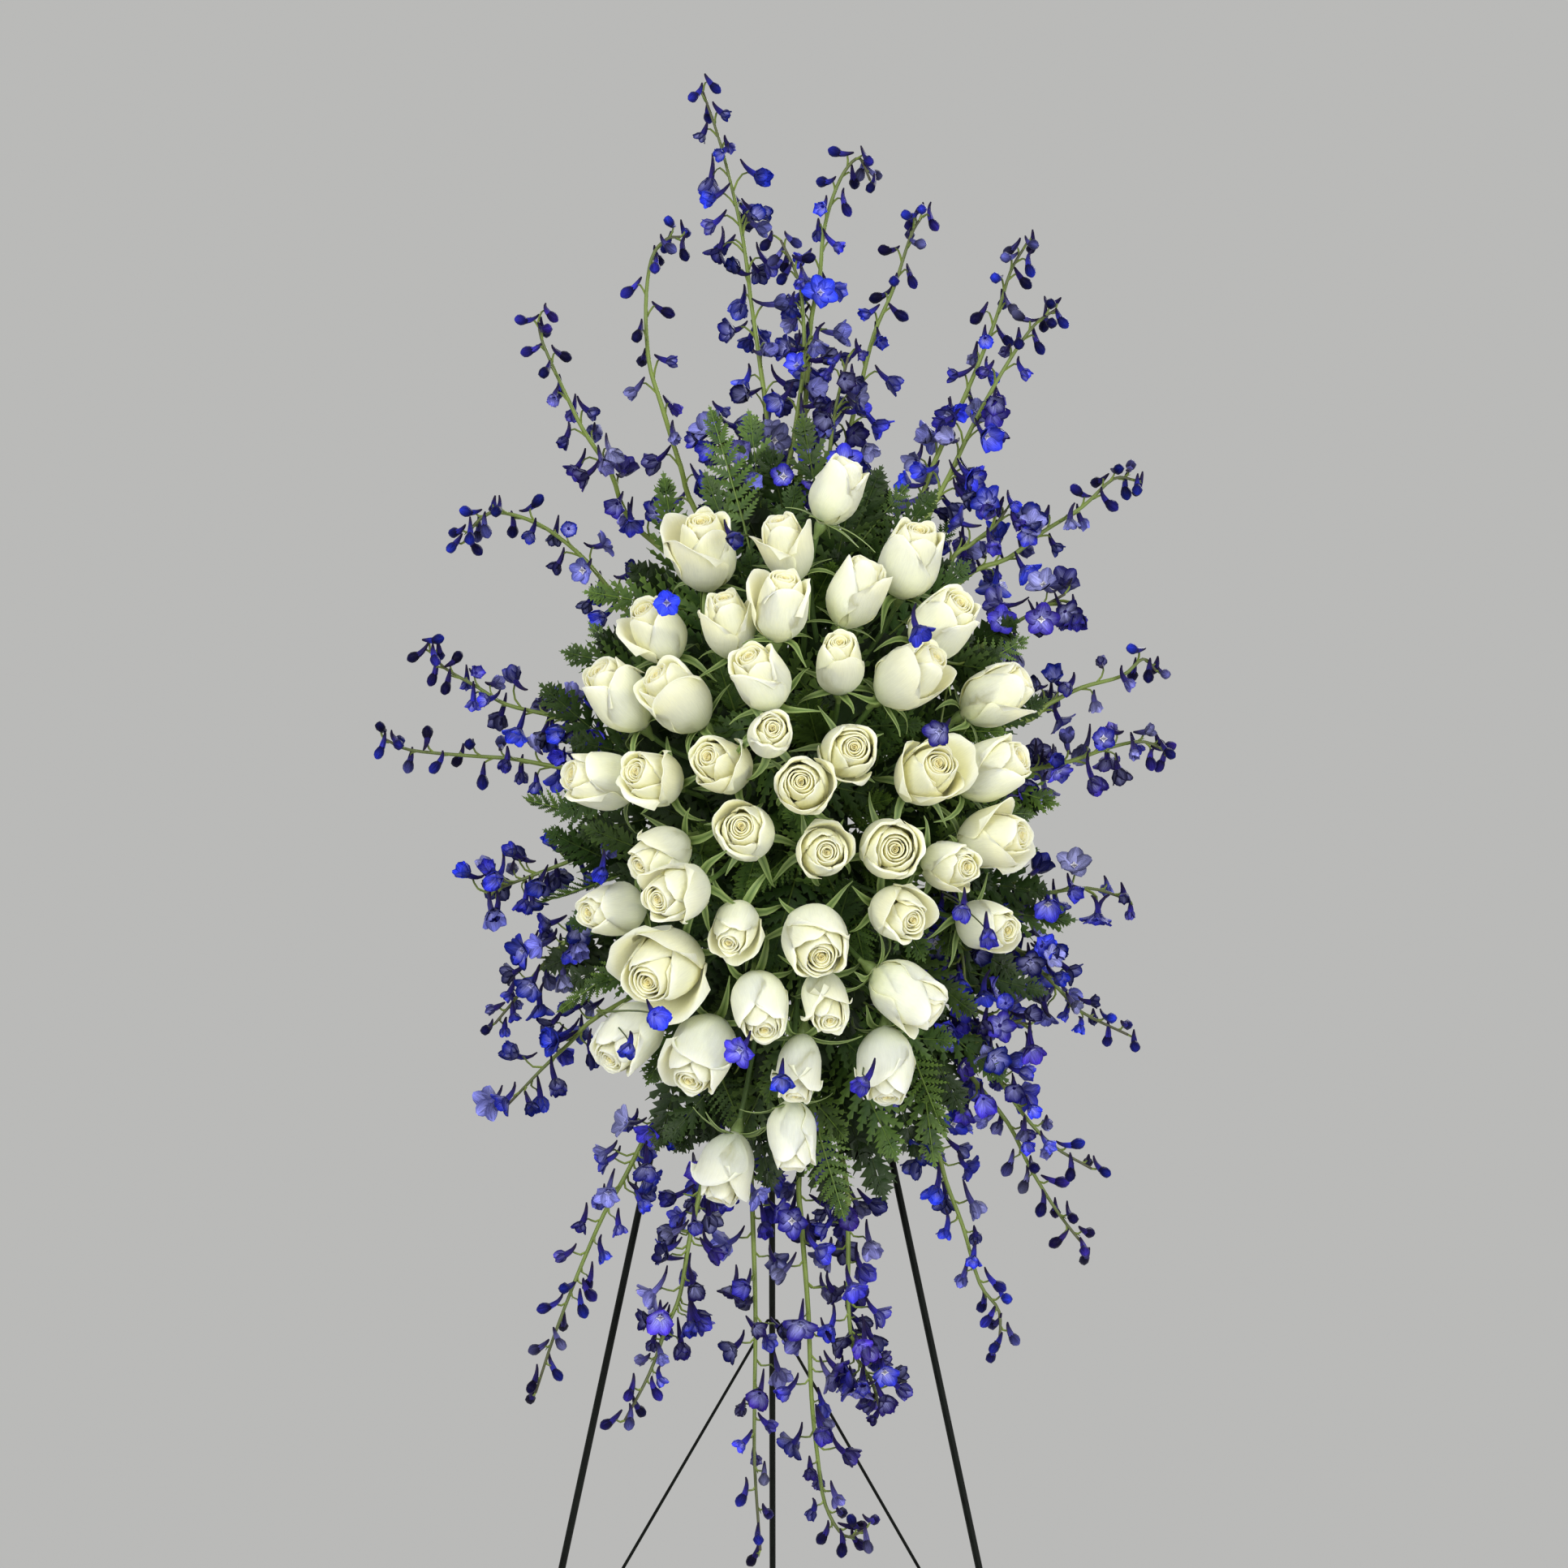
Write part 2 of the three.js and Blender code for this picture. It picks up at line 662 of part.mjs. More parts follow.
// The wire that keeps the legs apart: two arms from the front legs, bent round behind the back leg
function spreader() {
  const hingeY = -legForward(HINGE_HEIGHT);
  const slope = (BACK_FOOT_Y - hingeY) / HINGE_HEIGHT;
  const legY = hingeY + slope * (HINGE_HEIGHT - SPREADER_TOP_HEIGHT);
  const bendClear = ROD_RADIUS + SPREADER_WIRE_RADIUS + 1;
  const pivots = [-1, 1].map((side) => {
    const pivot = legPoint(side, SPREADER_END_HEIGHT);
    pivot.x -= side * (ROD_RADIUS + SPREADER_EYE_WIDTH / 2 + SPREADER_EYE_PLAY);
    return pivot;
  });
  const top = vector(0, legY, SPREADER_TOP_HEIGHT);
  const backward = top.clone().sub(vector(0, pivots[0].y, pivots[0].z)).normalize();
  const bend = [-90, -45, 0, 45, 90].map((degrees) => {
    const angle = (degrees * Math.PI) / 180;
    const point = along(top, backward, bendClear * Math.cos(angle) * 0.9);
    point.x += bendClear * 1.15 * Math.sin(angle);
    return point;
  });
  const start = along(pivots[0], bend[0].clone().sub(pivots[0]).normalize(), SPREADER_EYE_OUTER - 1);
  const finish = along(pivots[1], bend[4].clone().sub(pivots[1]).normalize(), SPREADER_EYE_OUTER - 1);
  const way = [start, ...bend, finish];
  const radii = way.map(() => SPREADER_WIRE_RADIUS);
  const eyes = pivots.map((pivot) => {
    return solidFrom(eye(pivot, SPREADER_EYE_INNER, SPREADER_EYE_OUTER, SPREADER_EYE_WIDTH, 8));
  });
  return joined([solidFrom(stalk(way, radii, 6)), ...eyes]);
}

const foamLow = vector(
  FOAM_X - FOAM_WIDTH / 2,
  FOAM_BACK_Y - FOAM_DEPTH,
  FOAM_MIDDLE_HEIGHT - FOAM_HEIGHT / 2,
);
const foamHigh = vector(FOAM_X + FOAM_WIDTH / 2, FOAM_BACK_Y, FOAM_MIDDLE_HEIGHT + FOAM_HEIGHT / 2);
const roomLow = foamLow.clone().subScalar(TOUCH);
const roomHigh = foamHigh.clone().addScalar(TOUCH);
const cageLow = roomLow.clone().subScalar(CAGE_WALL);
const cageHigh = roomHigh.clone().addScalar(CAGE_WALL);

// The bar across the front legs, with two prongs under the cage's sides that it stands on
function crossBar() {
  const height = cageLow.z - TOUCH - CROSS_BAR_RADIUS;
  const y = -legForward(height) - ROD_RADIUS - CROSS_BAR_RADIUS - TOUCH;
  const reach = legX(height) + CROSS_BAR_PAST_LEG;
  const bar = solidFrom(wire([vector(-reach, y, height), vector(reach, y, height)], CROSS_BAR_RADIUS, 6));
  const prongs = [cageLow.x + CROSS_BAR_RADIUS, cageHigh.x - CROSS_BAR_RADIUS].map((x) => {
    const out = cageLow.y - 1 - CROSS_BAR_RADIUS;
    const way = [
      vector(x, y, height),
      vector(x, out + PRONG_BEND, height),
      vector(x, out, height + PRONG_BEND),
      vector(x, out, height + PRONG_HEIGHT),
    ];
    return solidFrom(stalk(way, way.map(() => CROSS_BAR_RADIUS), 6));
  });
  return joined([bar, ...prongs]);
}

// The hook that ties the cage's back to the hinge bar
function topHook() {
  const side = HINGE_EYE_WIDTH / 2 + HOOK_BESIDE_EYE;
  const around = HINGE_PIN_RADIUS + TOUCH + HOOK_RADIUS + 0.2;
  const y = -legForward(HINGE_HEIGHT);
  const plateY = cageHigh.y + TOUCH + HOOK_RADIUS;
  const bend = [140, 95, 50, 5, -40].map((degrees) => {
    const angle = (degrees * Math.PI) / 180;
    return vector(side, y + around * Math.cos(angle), HINGE_HEIGHT + around * Math.sin(angle));
  });
  const rise = [vector(side, plateY, HOOK_FOOT_HEIGHT), vector(side, plateY, HOOK_BEND_HEIGHT)];
  const way = [...rise, ...bend];
  return solidFrom(stalk(way.reverse(), way.map(() => HOOK_RADIUS), 5));
}

// Where the stems can enter the foam, each through a window of the cage
function makeHoles() {
  const holes = [];
  for (let row = 0; row < CAGE_ROWS; row++) {
    const middle = FOAM_MIDDLE_HEIGHT + (row - (CAGE_ROWS - 1) / 2) * ROW_PITCH;
    for (const up of [-HOLE_UP, HOLE_UP]) {
      for (const across of FRONT_HOLES_X) {
        const at = vector(FOAM_X + across, foamLow.y, middle + up);
        holes.push({ face: "front", at, out: vector(0, -1, 0), deep: FRONT_HOLE_DEPTH });
      }
      for (const side of [-1, 1]) {
        const at = vector(FOAM_X + (side * FOAM_WIDTH) / 2, SIDE_HOLE_Y, middle + up);
        holes.push({ face: "side", at, out: vector(side, 0, 0), deep: SIDE_HOLE_DEPTH });
      }
    }
  }
  for (const across of END_HOLES_X) {
    for (const end of [-1, 1]) {
      const at = vector(FOAM_X + across, SIDE_HOLE_Y, FOAM_MIDDLE_HEIGHT + (end * FOAM_HEIGHT) / 2);
      holes.push({ face: "side", at, out: vector(0, 0, end), deep: SIDE_HOLE_DEPTH });
    }
  }
  return holes;
}

// The free hole nearest to a point and facing it best
function nearestHole(holes, target, face) {
  let best = null;
  let least = Infinity;
  for (const hole of holes) {
    if (hole.face !== face || hole.used) {
      continue;
    }
    const way = target.clone().sub(hole.at);
    const length = way.length();
    const score = length * (1.6 - way.dot(hole.out) / length);
    if (score < least) {
      least = score;
      best = hole;
    }
  }
  best.used = true;
  return best;
}

function foamCage() {
  let cage = block(cageLow, cageHigh).subtract(block(roomLow, roomHigh));
  const windows = [];
  for (let row = 0; row < CAGE_ROWS; row++) {
    const middle = FOAM_MIDDLE_HEIGHT + (row - (CAGE_ROWS - 1) / 2) * ROW_PITCH;
    const low = middle - WINDOW_HEIGHT / 2;
    const high = middle + WINDOW_HEIGHT / 2;
    for (const side of [-1, 1]) {
      const x = [FOAM_X + side * WINDOW_NEAR_X, FOAM_X + side * WINDOW_FAR_X].sort((a, b) => a - b);
      windows.push([vector(x[0], cageLow.y - 5, low), vector(x[1], roomLow.y + 5, high)]);
      const wall = FOAM_X + (side * FOAM_WIDTH) / 2;
      const front = (foamLow.y + foamHigh.y - WINDOW_DEPTH) / 2;
      windows.push([vector(wall - 9, front, low), vector(wall + 9, front + WINDOW_DEPTH, high)]);
    }
  }
  for (const side of [-1, 1]) {
    const x = [FOAM_X + side * WINDOW_NEAR_X, FOAM_X + side * WINDOW_FAR_X].sort((a, b) => a - b);
    const front = (foamLow.y + foamHigh.y - WINDOW_DEPTH) / 2;
    for (const wall of [foamLow.z, foamHigh.z]) {
      windows.push([vector(x[0], front, wall - 9), vector(x[1], front + WINDOW_DEPTH, wall + 9)]);
    }
  }
  for (const [low, high] of windows) {
    cage = cage.subtract(block(low, high));
  }
  return cage;
}

// The two end rings of a straight stretch in and out of a hole
function holeRings(hole, inner, outer, radius) {
  const [first, second] = sideways(hole.out);
  return [-inner, outer].map((distance) => {
    return ring(along(hole.at, hole.out, distance), first, second, radius, STEM_SIDES);
  });
}

function bottomOf(hole, inner) {
  return along(hole.at, hole.out, -inner);
}

// The block of foam, with a plain hole for each shared stem
function floralFoam(holes) {
  let foam = block(foamLow, foamHigh);
  for (const hole of holes.filter((one) => one.used)) {
    const rings = holeRings(hole, hole.deep, 6, SHARED_STEM_RADIUS + 2 * TOUCH);
    foam = foam.subtract(solidFrom(loft(bottomOf(hole, hole.deep), rings, bottomOf(hole, -6))));
  }
  return foam;
}

// The shared stem in its hole, to its outer end
function sharedRings(hole) {
  return holeRings(hole, hole.deep - TOUCH, SHARED_STEM_OUT, SHARED_STEM_RADIUS);
}

// The start and rings of a stem: the first of a group grows out of the shared stem, the second is
// rooted in its end
function rootedRings(hole, index, rings) {
  if (index > 0) {
    return { start: stemStart(hole, index), rings };
  }
  const shared = sharedRings(hole);
  const turned = (turn) => shared.map((one) => one.map((_, i) => one[(i + turn) % STEM_SIDES]));
  const turns = shared[0].map((_, turn) => turned(turn));
  const twist = (one) => one[1].reduce((sum, point, i) => sum + point.distanceTo(rings[1][i]), 0);
  const straightest = turns.reduce((best, one) => (twist(one) < twist(best) ? one : best));
  return { start: bottomOf(hole, hole.deep - TOUCH), rings: [...straightest, ...rings.slice(1)] };
}

// What is already placed, as balls that later pieces keep clear of
const taken = [];

function take(balls, owner) {
  for (const ball of balls) {
    taken.push({ centre: ball.centre, radius: ball.radius, owner });
  }
}

// The space between a ball and the cage or the plane of the legs
function holderGap(ball) {
  const centre = ball.centre;
  const x = Math.max(cageLow.x - centre.x, centre.x - cageHigh.x);
  const y = Math.max(cageLow.y - centre.y, centre.y - cageHigh.y);
  const z = Math.max(cageLow.z - centre.z, centre.z - cageHigh.z);
  const outside = Math.hypot(Math.max(x, 0), Math.max(y, 0), Math.max(z, 0));
  const cageGap = outside > 0 ? outside : Math.max(x, y, z);
  const legGap = centre.z < EASEL_HEIGHT ? -centre.y - legForward(centre.z) - LEG_CLEAR : Infinity;
  return Math.min(cageGap, legGap) - ball.radius;
}

function clearance(balls, ignored) {
  let least = Infinity;
  for (const ball of balls) {
    least = Math.min(least, holderGap(ball));
    for (const other of taken) {
      if (ignored.includes(other.owner)) {
        continue;
      }
      const reach = ball.radius + other.radius;
      least = Math.min(least, ball.centre.distanceTo(other.centre) - reach);
    }
  }
  return least;
}

// The first of several tries that is clear of everything placed, or else the clearest
function settle(tries, ballsOf, ignored) {
  let best = null;
  let most = -Infinity;
  for (const attempt of tries) {
    const gap = clearance(ballsOf(attempt), ignored);
    if (gap > most) {
      most = gap;
      best = attempt;
    }
    if (gap >= ENOUGH) {
      break;
    }
  }
  return best;
}

function groupName(kind, index) {
  return `${kind}_${String(index + 1).padStart(2, "0")}`;
}

function ballsAlong(points, radius) {
  const balls = [];
  for (let i = 0; i + 1 < points.length; i++) {
    const pieces = Math.max(1, Math.ceil(points[i].distanceTo(points[i + 1]) / 5));
    for (let k = 0; k < pieces; k++) {
      balls.push({ centre: points[i].clone().lerp(points[i + 1], k / pieces), radius });
    }
  }
  balls.push({ centre: points[points.length - 1], radius });
  return balls;
}

const SHIFT_WAYS = [
  [1, 0, 0], [-1, 0, 0], [0, -1, 0], [0, 0, 1], [0, 0, -1], [0, 1, 0],
  [0.7, -0.3, 0.7], [-0.7, -0.3, 0.7], [0.7, -0.3, -0.7], [-0.7, -0.3, -0.7],
];

// Shifts tried in turn when a stem has to be bent clear
function shifts(steps) {
  const found = [vector(0, 0, 0)];
  for (const step of steps) {
    for (const way of SHIFT_WAYS) {
      found.push(vector(...way).multiplyScalar(step));
    }
  }
  return found;
}

// Where a stem starts, in the end of its shared stem
function stemStart(hole, index) {
  const [across] = sideways(hole.out);
  return along(along(hole.at, hole.out, SHARED_STEM_OUT - STEM_SUNK), across, index * ROOT_ASIDE);
}

// A stem from its hole to a point, arriving in a given direction
function stemPoints(hole, index, end, arrival, shift) {
  const start = stemStart(hole, index);
  const reach = start.distanceTo(end);
  const curve = new THREE.CubicBezierCurve3(
    start,
    along(start, hole.out, reach * 0.3).addScaledVector(shift, 0.6),
    along(end, arrival, -reach * 0.35).add(shift),
    end,
  );
  return curve.getPoints(3);
}

// A stem bent clear of what is placed
function settledStem(group, index, end, arrival, radius, ignored) {
  const pointsOf = (shift) => stemPoints(group.hole, index, end, arrival, shift);
  const tries = shifts([8, 16, 26, 38, 52]);
  const shift = settle(tries, (one) => ballsAlong(pointsOf(one), radius).slice(3), ignored);
  return pointsOf(shift);
}

// A rose's place: the middle of its bloom is where the photograph shows it
function rosePlace(rose, forward) {
  const scale = (MM_PER_PIXEL * (VIEW_DISTANCE - forward)) / VIEW_DISTANCE;
  const across = (rose.tip[0] - rose.at[0]) / ROSE_HALF_PIXELS;
  const up = (rose.at[1] - rose.tip[1]) / ROSE_HALF_PIXELS;
  const size = Math.hypot(across, up);
  const flat = Math.min(size, ROSE_FLATTEST);
  const axis = vector((across / size) * flat, -Math.sqrt(1 - flat * flat), (up / size) * flat);
  const radius = (rose.wide * scale) / 2;
  const length = THREE.MathUtils.clamp(
    ROSE_LENGTH_PER_RADIUS * radius,
    ROSE_LENGTH - ROSE_LENGTH_SPREAD,
    ROSE_LENGTH + ROSE_LENGTH_SPREAD,
  );
  const base = along(seen(rose.at, forward), axis, -length * ROSE_MIDDLE_SHARE);
  return { base, axis, radius, length };
}

function roseBalls(place) {
  return [0.2, 0.46, 0.68, 0.84].map((height, i) => ({
    centre: along(place.base, place.axis, place.length * height),
    radius: place.radius * [0.9, 1.06, 1.02, 1][i],
  }));
}

function layRoses() {
  return ROSES.map((roses, g) => {
    const places = roses.map((rose, i) => {
      const x = (rose.at[0] - ROSE_MIDDLE.at[0]) / ROSE_MIDDLE.wide;
      const z = (rose.at[1] - ROSE_MIDDLE.at[1]) / ROSE_MIDDLE.high;
      const dome = ROSE_NEAR + ROSE_BULGE * Math.sqrt(Math.max(0, 1 - x * x - z * z));
      const tries = [0, 8, -8, 16, -16, 24, -24, 32, -32, 42, -42, 54].map((more) => dome + more);
      const forward = settle(tries, (one) => roseBalls(rosePlace(rose, one)), []);
      const place = rosePlace(rose, forward);
      place.name = `bloom_${g}_${i}`;
      place.turn = between(0, 2 * Math.PI);
      take(roseBalls(place), place.name);
      return place;
    });
    return { name: groupName("roses", g), places };
  });
}

function middleOf(points) {
  return points.reduce((sum, point) => sum.addScaledVector(point, 1 / points.length), vector(0, 0, 0));
}

// Gives each group the free hole that suits it, and keeps what sticks out of the hole clear
function giveHoles(groups, holes, face, aimOf) {
  groups.forEach((group) => {
    group.hole = nearestHole(holes, aimOf(group), face);
    const end = along(group.hole.at, group.hole.out, SHARED_STEM_OUT);
    take(ballsAlong([group.hole.at, end], SHARED_STEM_RADIUS), group.name);
  });
}

function layRoseStems(groups) {
  for (const group of groups) {
    group.places.forEach((place, i) => {
      const own = [group.name, place.name];
      place.stem = settledStem(group, i, place.base, place.axis, ROSE_STEM_RADIUS, own);
      take(ballsAlong(place.stem, ROSE_STEM_RADIUS), group.name);
    });
  }
}

// A rose: its stem, the star of its sepals, three outer petals that overlap from belly to rim, and the
// inner whorl of three that stands out of them
function roseSolid(place, hole, index) {
  const [first, second] = sideways(place.axis);
  const around = (angle, reach, rise) => {
    const point = along(place.base, place.axis, rise);
    point.addScaledVector(first, reach * Math.cos(angle));
    return point.addScaledVector(second, reach * Math.sin(angle));
  };
  const whorl = [
    { height: 0.4, radius: 0.98, step: 0.07, lift: 0, turn: 0 },
    { height: 0.86, radius: 0.9, step: 0.13, lift: 0.05, turn: 0.1 },
    { height: 0.97, radius: 0.44, step: 0.2, lift: 0.03, turn: 0.5 },
  ];
  const three = (reach, rise) => [0, 1, 2].map((i) => {
    return around(place.turn + (i * 2 * Math.PI) / 3, reach, rise);
  });
  const petals = whorl.map(({ height, radius, step, lift, turn }) => {
    const points = [];
    for (let petal = 0; petal < 3; petal++) {
      [0, 0.96, 1.9].forEach((spread, i) => {
        const angle = place.turn + turn + (petal * 2 * Math.PI) / 3 + spread;
        const reach = place.radius * radius * (1 + step * (1 - i));
        points.push(around(angle, reach, place.length * (height + lift * [-1, 1, -0.4][i])));
      });
    }
    return points;
  });
  petals.splice(2, 0, three(place.radius * 0.62, place.length * 0.78));
  const sepals = [];
  for (let i = 0; i < 3; i++) {
    const angle = place.turn + (i * 2 * Math.PI) / 3;
    sepals.push(around(angle, place.radius * 0.88, 3 + 4 * (i % 2)), around(angle + 1.05, 4, 2));
  }
  const stem = stemRings(place.stem, () => ROSE_STEM_RADIUS).slice(0, -1);
  const { start, rings } = rootedRings(hole, index, stem);
  const top = around(0, 0, place.length * 0.88);
  rings.push(three(ROSE_STEM_RADIUS, -5), three(5.5, 0), sepals, three(6.5, 4), ...petals);
  return solidFrom(loft(start, rings, top));
}

function roseGroup(group) {
  return joined(group.places.map((place, i) => roseSolid(place, group.hole, i)));
}

// A delphinium's stem: from its hole through the points that the photograph shows
function spirePoints(spire, hole, index, shift) {
  const count = spire.way.length;
  const way = spire.way.map((pixel, i) => {
    const share = i / (count - 1);
    return seen(pixel, spire.forward[0] + (spire.forward[1] - spire.forward[0]) * share);
  });
  const start = stemStart(hole, index);
  const turn = along(start, hole.out, 12).addScaledVector(way[0].clone().sub(start).normalize(), 4);
  way[0].add(shift);
  way[1].addScaledVector(shift, 0.4);
  const curve = new THREE.CatmullRomCurve3([start, turn, ...way], false, "catmullrom", 0.5);
  return curve.getPoints(4 * (count + 1));
}

function spireRadius(share) {
  return SPIRE_FOOT_RADIUS + (SPIRE_TIP_RADIUS - SPIRE_FOOT_RADIUS) * share;
}

function laySpires(groups) {
  for (const group of groups) {
    group.stems = group.spires.map((spire, i) => {
      const shift = settle(
        shifts([8, 16, 26, 38]),
        (one) => ballsAlong(spirePoints(spire, group.hole, i, one), SPIRE_FOOT_RADIUS).slice(3),
        [group.name],
      );
      const points = spirePoints(spire, group.hole, i, shift);
      take(ballsAlong(points, SPIRE_FOOT_RADIUS), group.name);
      return { ...spire, points };
    });
  }
}

// A floret's place on its stem: it stands off on its own stalk and nods outwards
function floretPlace(stem, share, angle, isOpen, reach) {
  const last = stem.points.length - 1;
  const at = FIRST_SEEN + share * (last - FIRST_SEEN);
  const index = Math.min(Math.floor(at), last - 1);
  const root = stem.points[index].clone().lerp(stem.points[index + 1], at - index);
  const upward = stem.points[index + 1].clone().sub(stem.points[index]).normalize();
  const [first, second] = sideways(upward);
  const out = first.multiplyScalar(Math.cos(angle)).addScaledVector(second, Math.sin(angle));
  const end = along(along(root, out, reach), upward, reach * (isOpen ? 0.45 : 0.6));
  const facing = out.clone().addScaledVector(upward, 0.15);
  facing.z -= isOpen ? 0.25 : 0.6;
  facing.y -= isOpen ? 0.35 : 0;
  return { root, end, facing: facing.normalize(), isOpen };
}

function floretBalls(floret, size) {
  const half = floret.end.clone().lerp(floret.root, 0.45);
  if (floret.isOpen) {
    return [
      { centre: along(floret.end, floret.facing, 1), radius: FLORET_RADIUS * size },
      { centre: half, radius: 1 },
    ];
  }
  return [
    { centre: along(floret.end, floret.facing, 5 * size), radius: (BUD_RADIUS + 1) * size },
    { centre: along(floret.end, floret.facing, -6 * size), radius: 2.5 },
    { centre: half, radius: 1 },
  ];
}

function layFlorets(spires) {
  for (const group of spires) {
    for (const stem of group.stems) {
      stem.placed = [];
      const spin = between(0, 2 * Math.PI);
      for (let i = 0; i < stem.florets; i++) {
        const isOpen = i < stem.open;
        const share = (i + 0.3) / (stem.florets - 0.7);
        const size = isOpen ? between(...FLORET_SIZES) : THREE.MathUtils.lerp(...BUD_SIZES, share);
        const reach = isOpen ? between(...FLORET_REACH) : THREE.MathUtils.lerp(...BUD_REACH, share);
        const tries = [];
        for (const shorter of [1, 0.8, 0.6]) {
          for (const more of [0, 0.5, -0.5, 1, -1, 1.6, -1.6, 2.3, -2.3, 3]) {
            tries.push([spin + i * GOLDEN_ANGLE + more, reach * shorter]);
          }
        }
        const placeOf = ([angle, length]) => floretPlace(stem, share, angle, isOpen, length);
        const chosen = settle(tries, (one) => floretBalls(placeOf(one), size), [group.name]);
        const floret = placeOf(chosen);
        floret.size = size;
        floret.turn = between(0, 2 * Math.PI);
        const balls = floretBalls(floret, size);
        if (clearance(balls, [group.name]) > JUST_CLEAR) {
          take(balls, `${group.name}_florets`);
          stem.placed.push(floret);
        }
      }
    }
  }
}

// One floret in so many is built, and larger than life where there is room, so that they cover the stem
function growFlorets(spires) {
  const others = taken.filter((ball) => !ball.owner.endsWith("_florets"));
  taken.splice(0, taken.length, ...others);
  for (const group of spires) {
    for (const stem of group.stems) {
      stem.built = stem.placed.filter((_, i) => i % BUILT_EVERY === 0);
      stem.built.forEach((floret) => take(floretBalls(floret, floret.size), `${group.name}_florets`));
    }
  }
  for (const group of spires) {
    const own = [group.name, `${group.name}_florets`];
    for (const floret of group.stems.flatMap((stem) => stem.built)) {
      const sizes = LARGER_THAN_LIFE.map((times) => times * floret.size);
      const size = sizes.find((one) => clearance(floretBalls(floret, one), own) > ENOUGH);
      if (size) {
        floret.size = size;
        take(floretBalls(floret, size), own[1]);
      }
    }
  }
}

// A stalk's last ring and the floret that it widens into share their turn, so the skin is not twisted
function stalkRings(floret, first, second) {
  const back = floret.end.clone().lerp(floret.root, 0.4);
  back.z += 2;
  const onStem = ring(floret.root, first, second, FLORET_STALK_RADIUS * 0.7, 3, floret.turn);
  return [onStem, ring(back, first, second, FLORET_STALK_RADIUS, 3, floret.turn)];
}

// An open floret on its stalk: five sepals round a shallow hollow
function openFloretSolid(floret) {
  const [first, second] = sideways(floret.facing);
  const radius = FLORET_RADIUS * floret.size;
  const rim = [];
  for (let sepal = 0; sepal < 5; sepal++) {
    const middle = floret.turn + (sepal * 2 * Math.PI) / 5;
    for (const [spread, reach, rise] of [[-0.6, 0.42, 0.5], [-0.28, 0.98, 3.4], [0.28, 1.02, 2.2]]) {
      const point = along(floret.end, floret.facing, rise);
      point.addScaledVector(first, radius * reach * Math.cos(middle + spread));
      rim.push(point.addScaledVector(second, radius * reach * Math.sin(middle + spread)));
    }
  }
  const rings = [...stalkRings(floret, first, second), rim];
  return solidFrom(loft(floret.root, rings, along(floret.end, floret.facing, 0.3)));
}

function budSolid(floret) {
  const [first, second] = sideways(floret.facing);
  const radius = BUD_RADIUS * floret.size;
  const belly = along(floret.end, floret.facing, 4 * floret.size);
  const rings = [
    ...stalkRings(floret, first, second),
    ring(belly, first, second, radius, 3, floret.turn),
  ];
  return solidFrom(loft(floret.root, rings, along(floret.end, floret.facing, 11.5 * floret.size)));
}

// The points of a curve where it has turned or run far enough to need one
function turningPoints(points) {
  const kept = [points[0]];
  let way = points[1].clone().sub(points[0]).normalize();
  for (let i = 1; i + 1 < points.length; i++) {
    const next = points[i + 1].clone().sub(points[i]).normalize();
    const isFar = points[i].distanceTo(kept[kept.length - 1]) > LONGEST_STRETCH;
    if (isFar || next.dot(way) < STRAIGHT_ENOUGH) {
      kept.push(points[i]);
      way = next;
    }
  }
  return [...kept, points[points.length - 1]];
}

// The point of a path of straight stretches that lies nearest to a point
function nearestOn(path, point) {
  const stretches = path.slice(1).map((end, i) => new THREE.Line3(path[i], end));
  const found = stretches.map((stretch) => stretch.closestPointToPoint(point, true, vector(0, 0, 0)));
  return found.reduce((best, one) => (one.distanceTo(point) < best.distanceTo(point) ? one : best));
}

function spireGroup(group) {
  const pieces = [];
  group.stems.forEach((stem, i) => {
    const kept = turningPoints(stem.points);
    const { start, rings } = rootedRings(group.hole, i, stemRings(kept, spireRadius));
    pieces.push(solidFrom(loft(start, rings, kept[kept.length - 1])));
    for (const floret of stem.built) {
      floret.root = nearestOn(kept, floret.root);
      pieces.push(floret.isOpen ? openFloretSolid(floret) : budSolid(floret));
    }
  });
  return joined(pieces);
}

// A frond's place: an arched rib from its foot to its tip
function frondPlace(frond, nearer) {
  const foot = seen(frond.foot, frond.forward[0] + nearer);
  const tip = seen(frond.tip, frond.forward[1] + nearer);
  const middle = foot.clone().lerp(tip, 0.5);
  middle.y -= 8;
  const rib = new THREE.QuadraticBezierCurve3(foot, middle, tip);
  return { rib, foot, arrival: middle.clone().sub(foot).normalize(), wide: frond.wide };
}

// The blade's cross direction and normal, rolled about the rib
function frondFrame(place, roll) {
  const forward = place.rib.getTangent(0.5);
  const across = forward.clone().cross(vector(0, -1, 0)).normalize();
  const normal = across.clone().cross(forward).normalize();
  return {
    across: across.clone().multiplyScalar(Math.cos(roll)).addScaledVector(normal, Math.sin(roll)),
    normal: normal.clone().multiplyScalar(Math.cos(roll)).addScaledVector(across, -Math.sin(roll)),
  };
}

function pinnaReach(place, share) {
  return (place.wide / 2) * (1 - share) ** 0.8 * Math.min(1, 0.62 + 2 * share);
}

function frondBalls(place, roll) {
  const { across } = frondFrame(place, roll);
  const balls = [];
  for (let i = 0; i <= 6; i++) {
    const share = i / 6;
    const middle = place.rib.getPoint(share);
    for (const part of [-0.95, -0.5, 0, 0.5, 0.95]) {
      const centre = along(middle, across, part * pinnaReach(place, Math.max(share - 0.1, 0)));
      balls.push({ centre, radius: 1.4 });
    }
  }
  return balls;
}

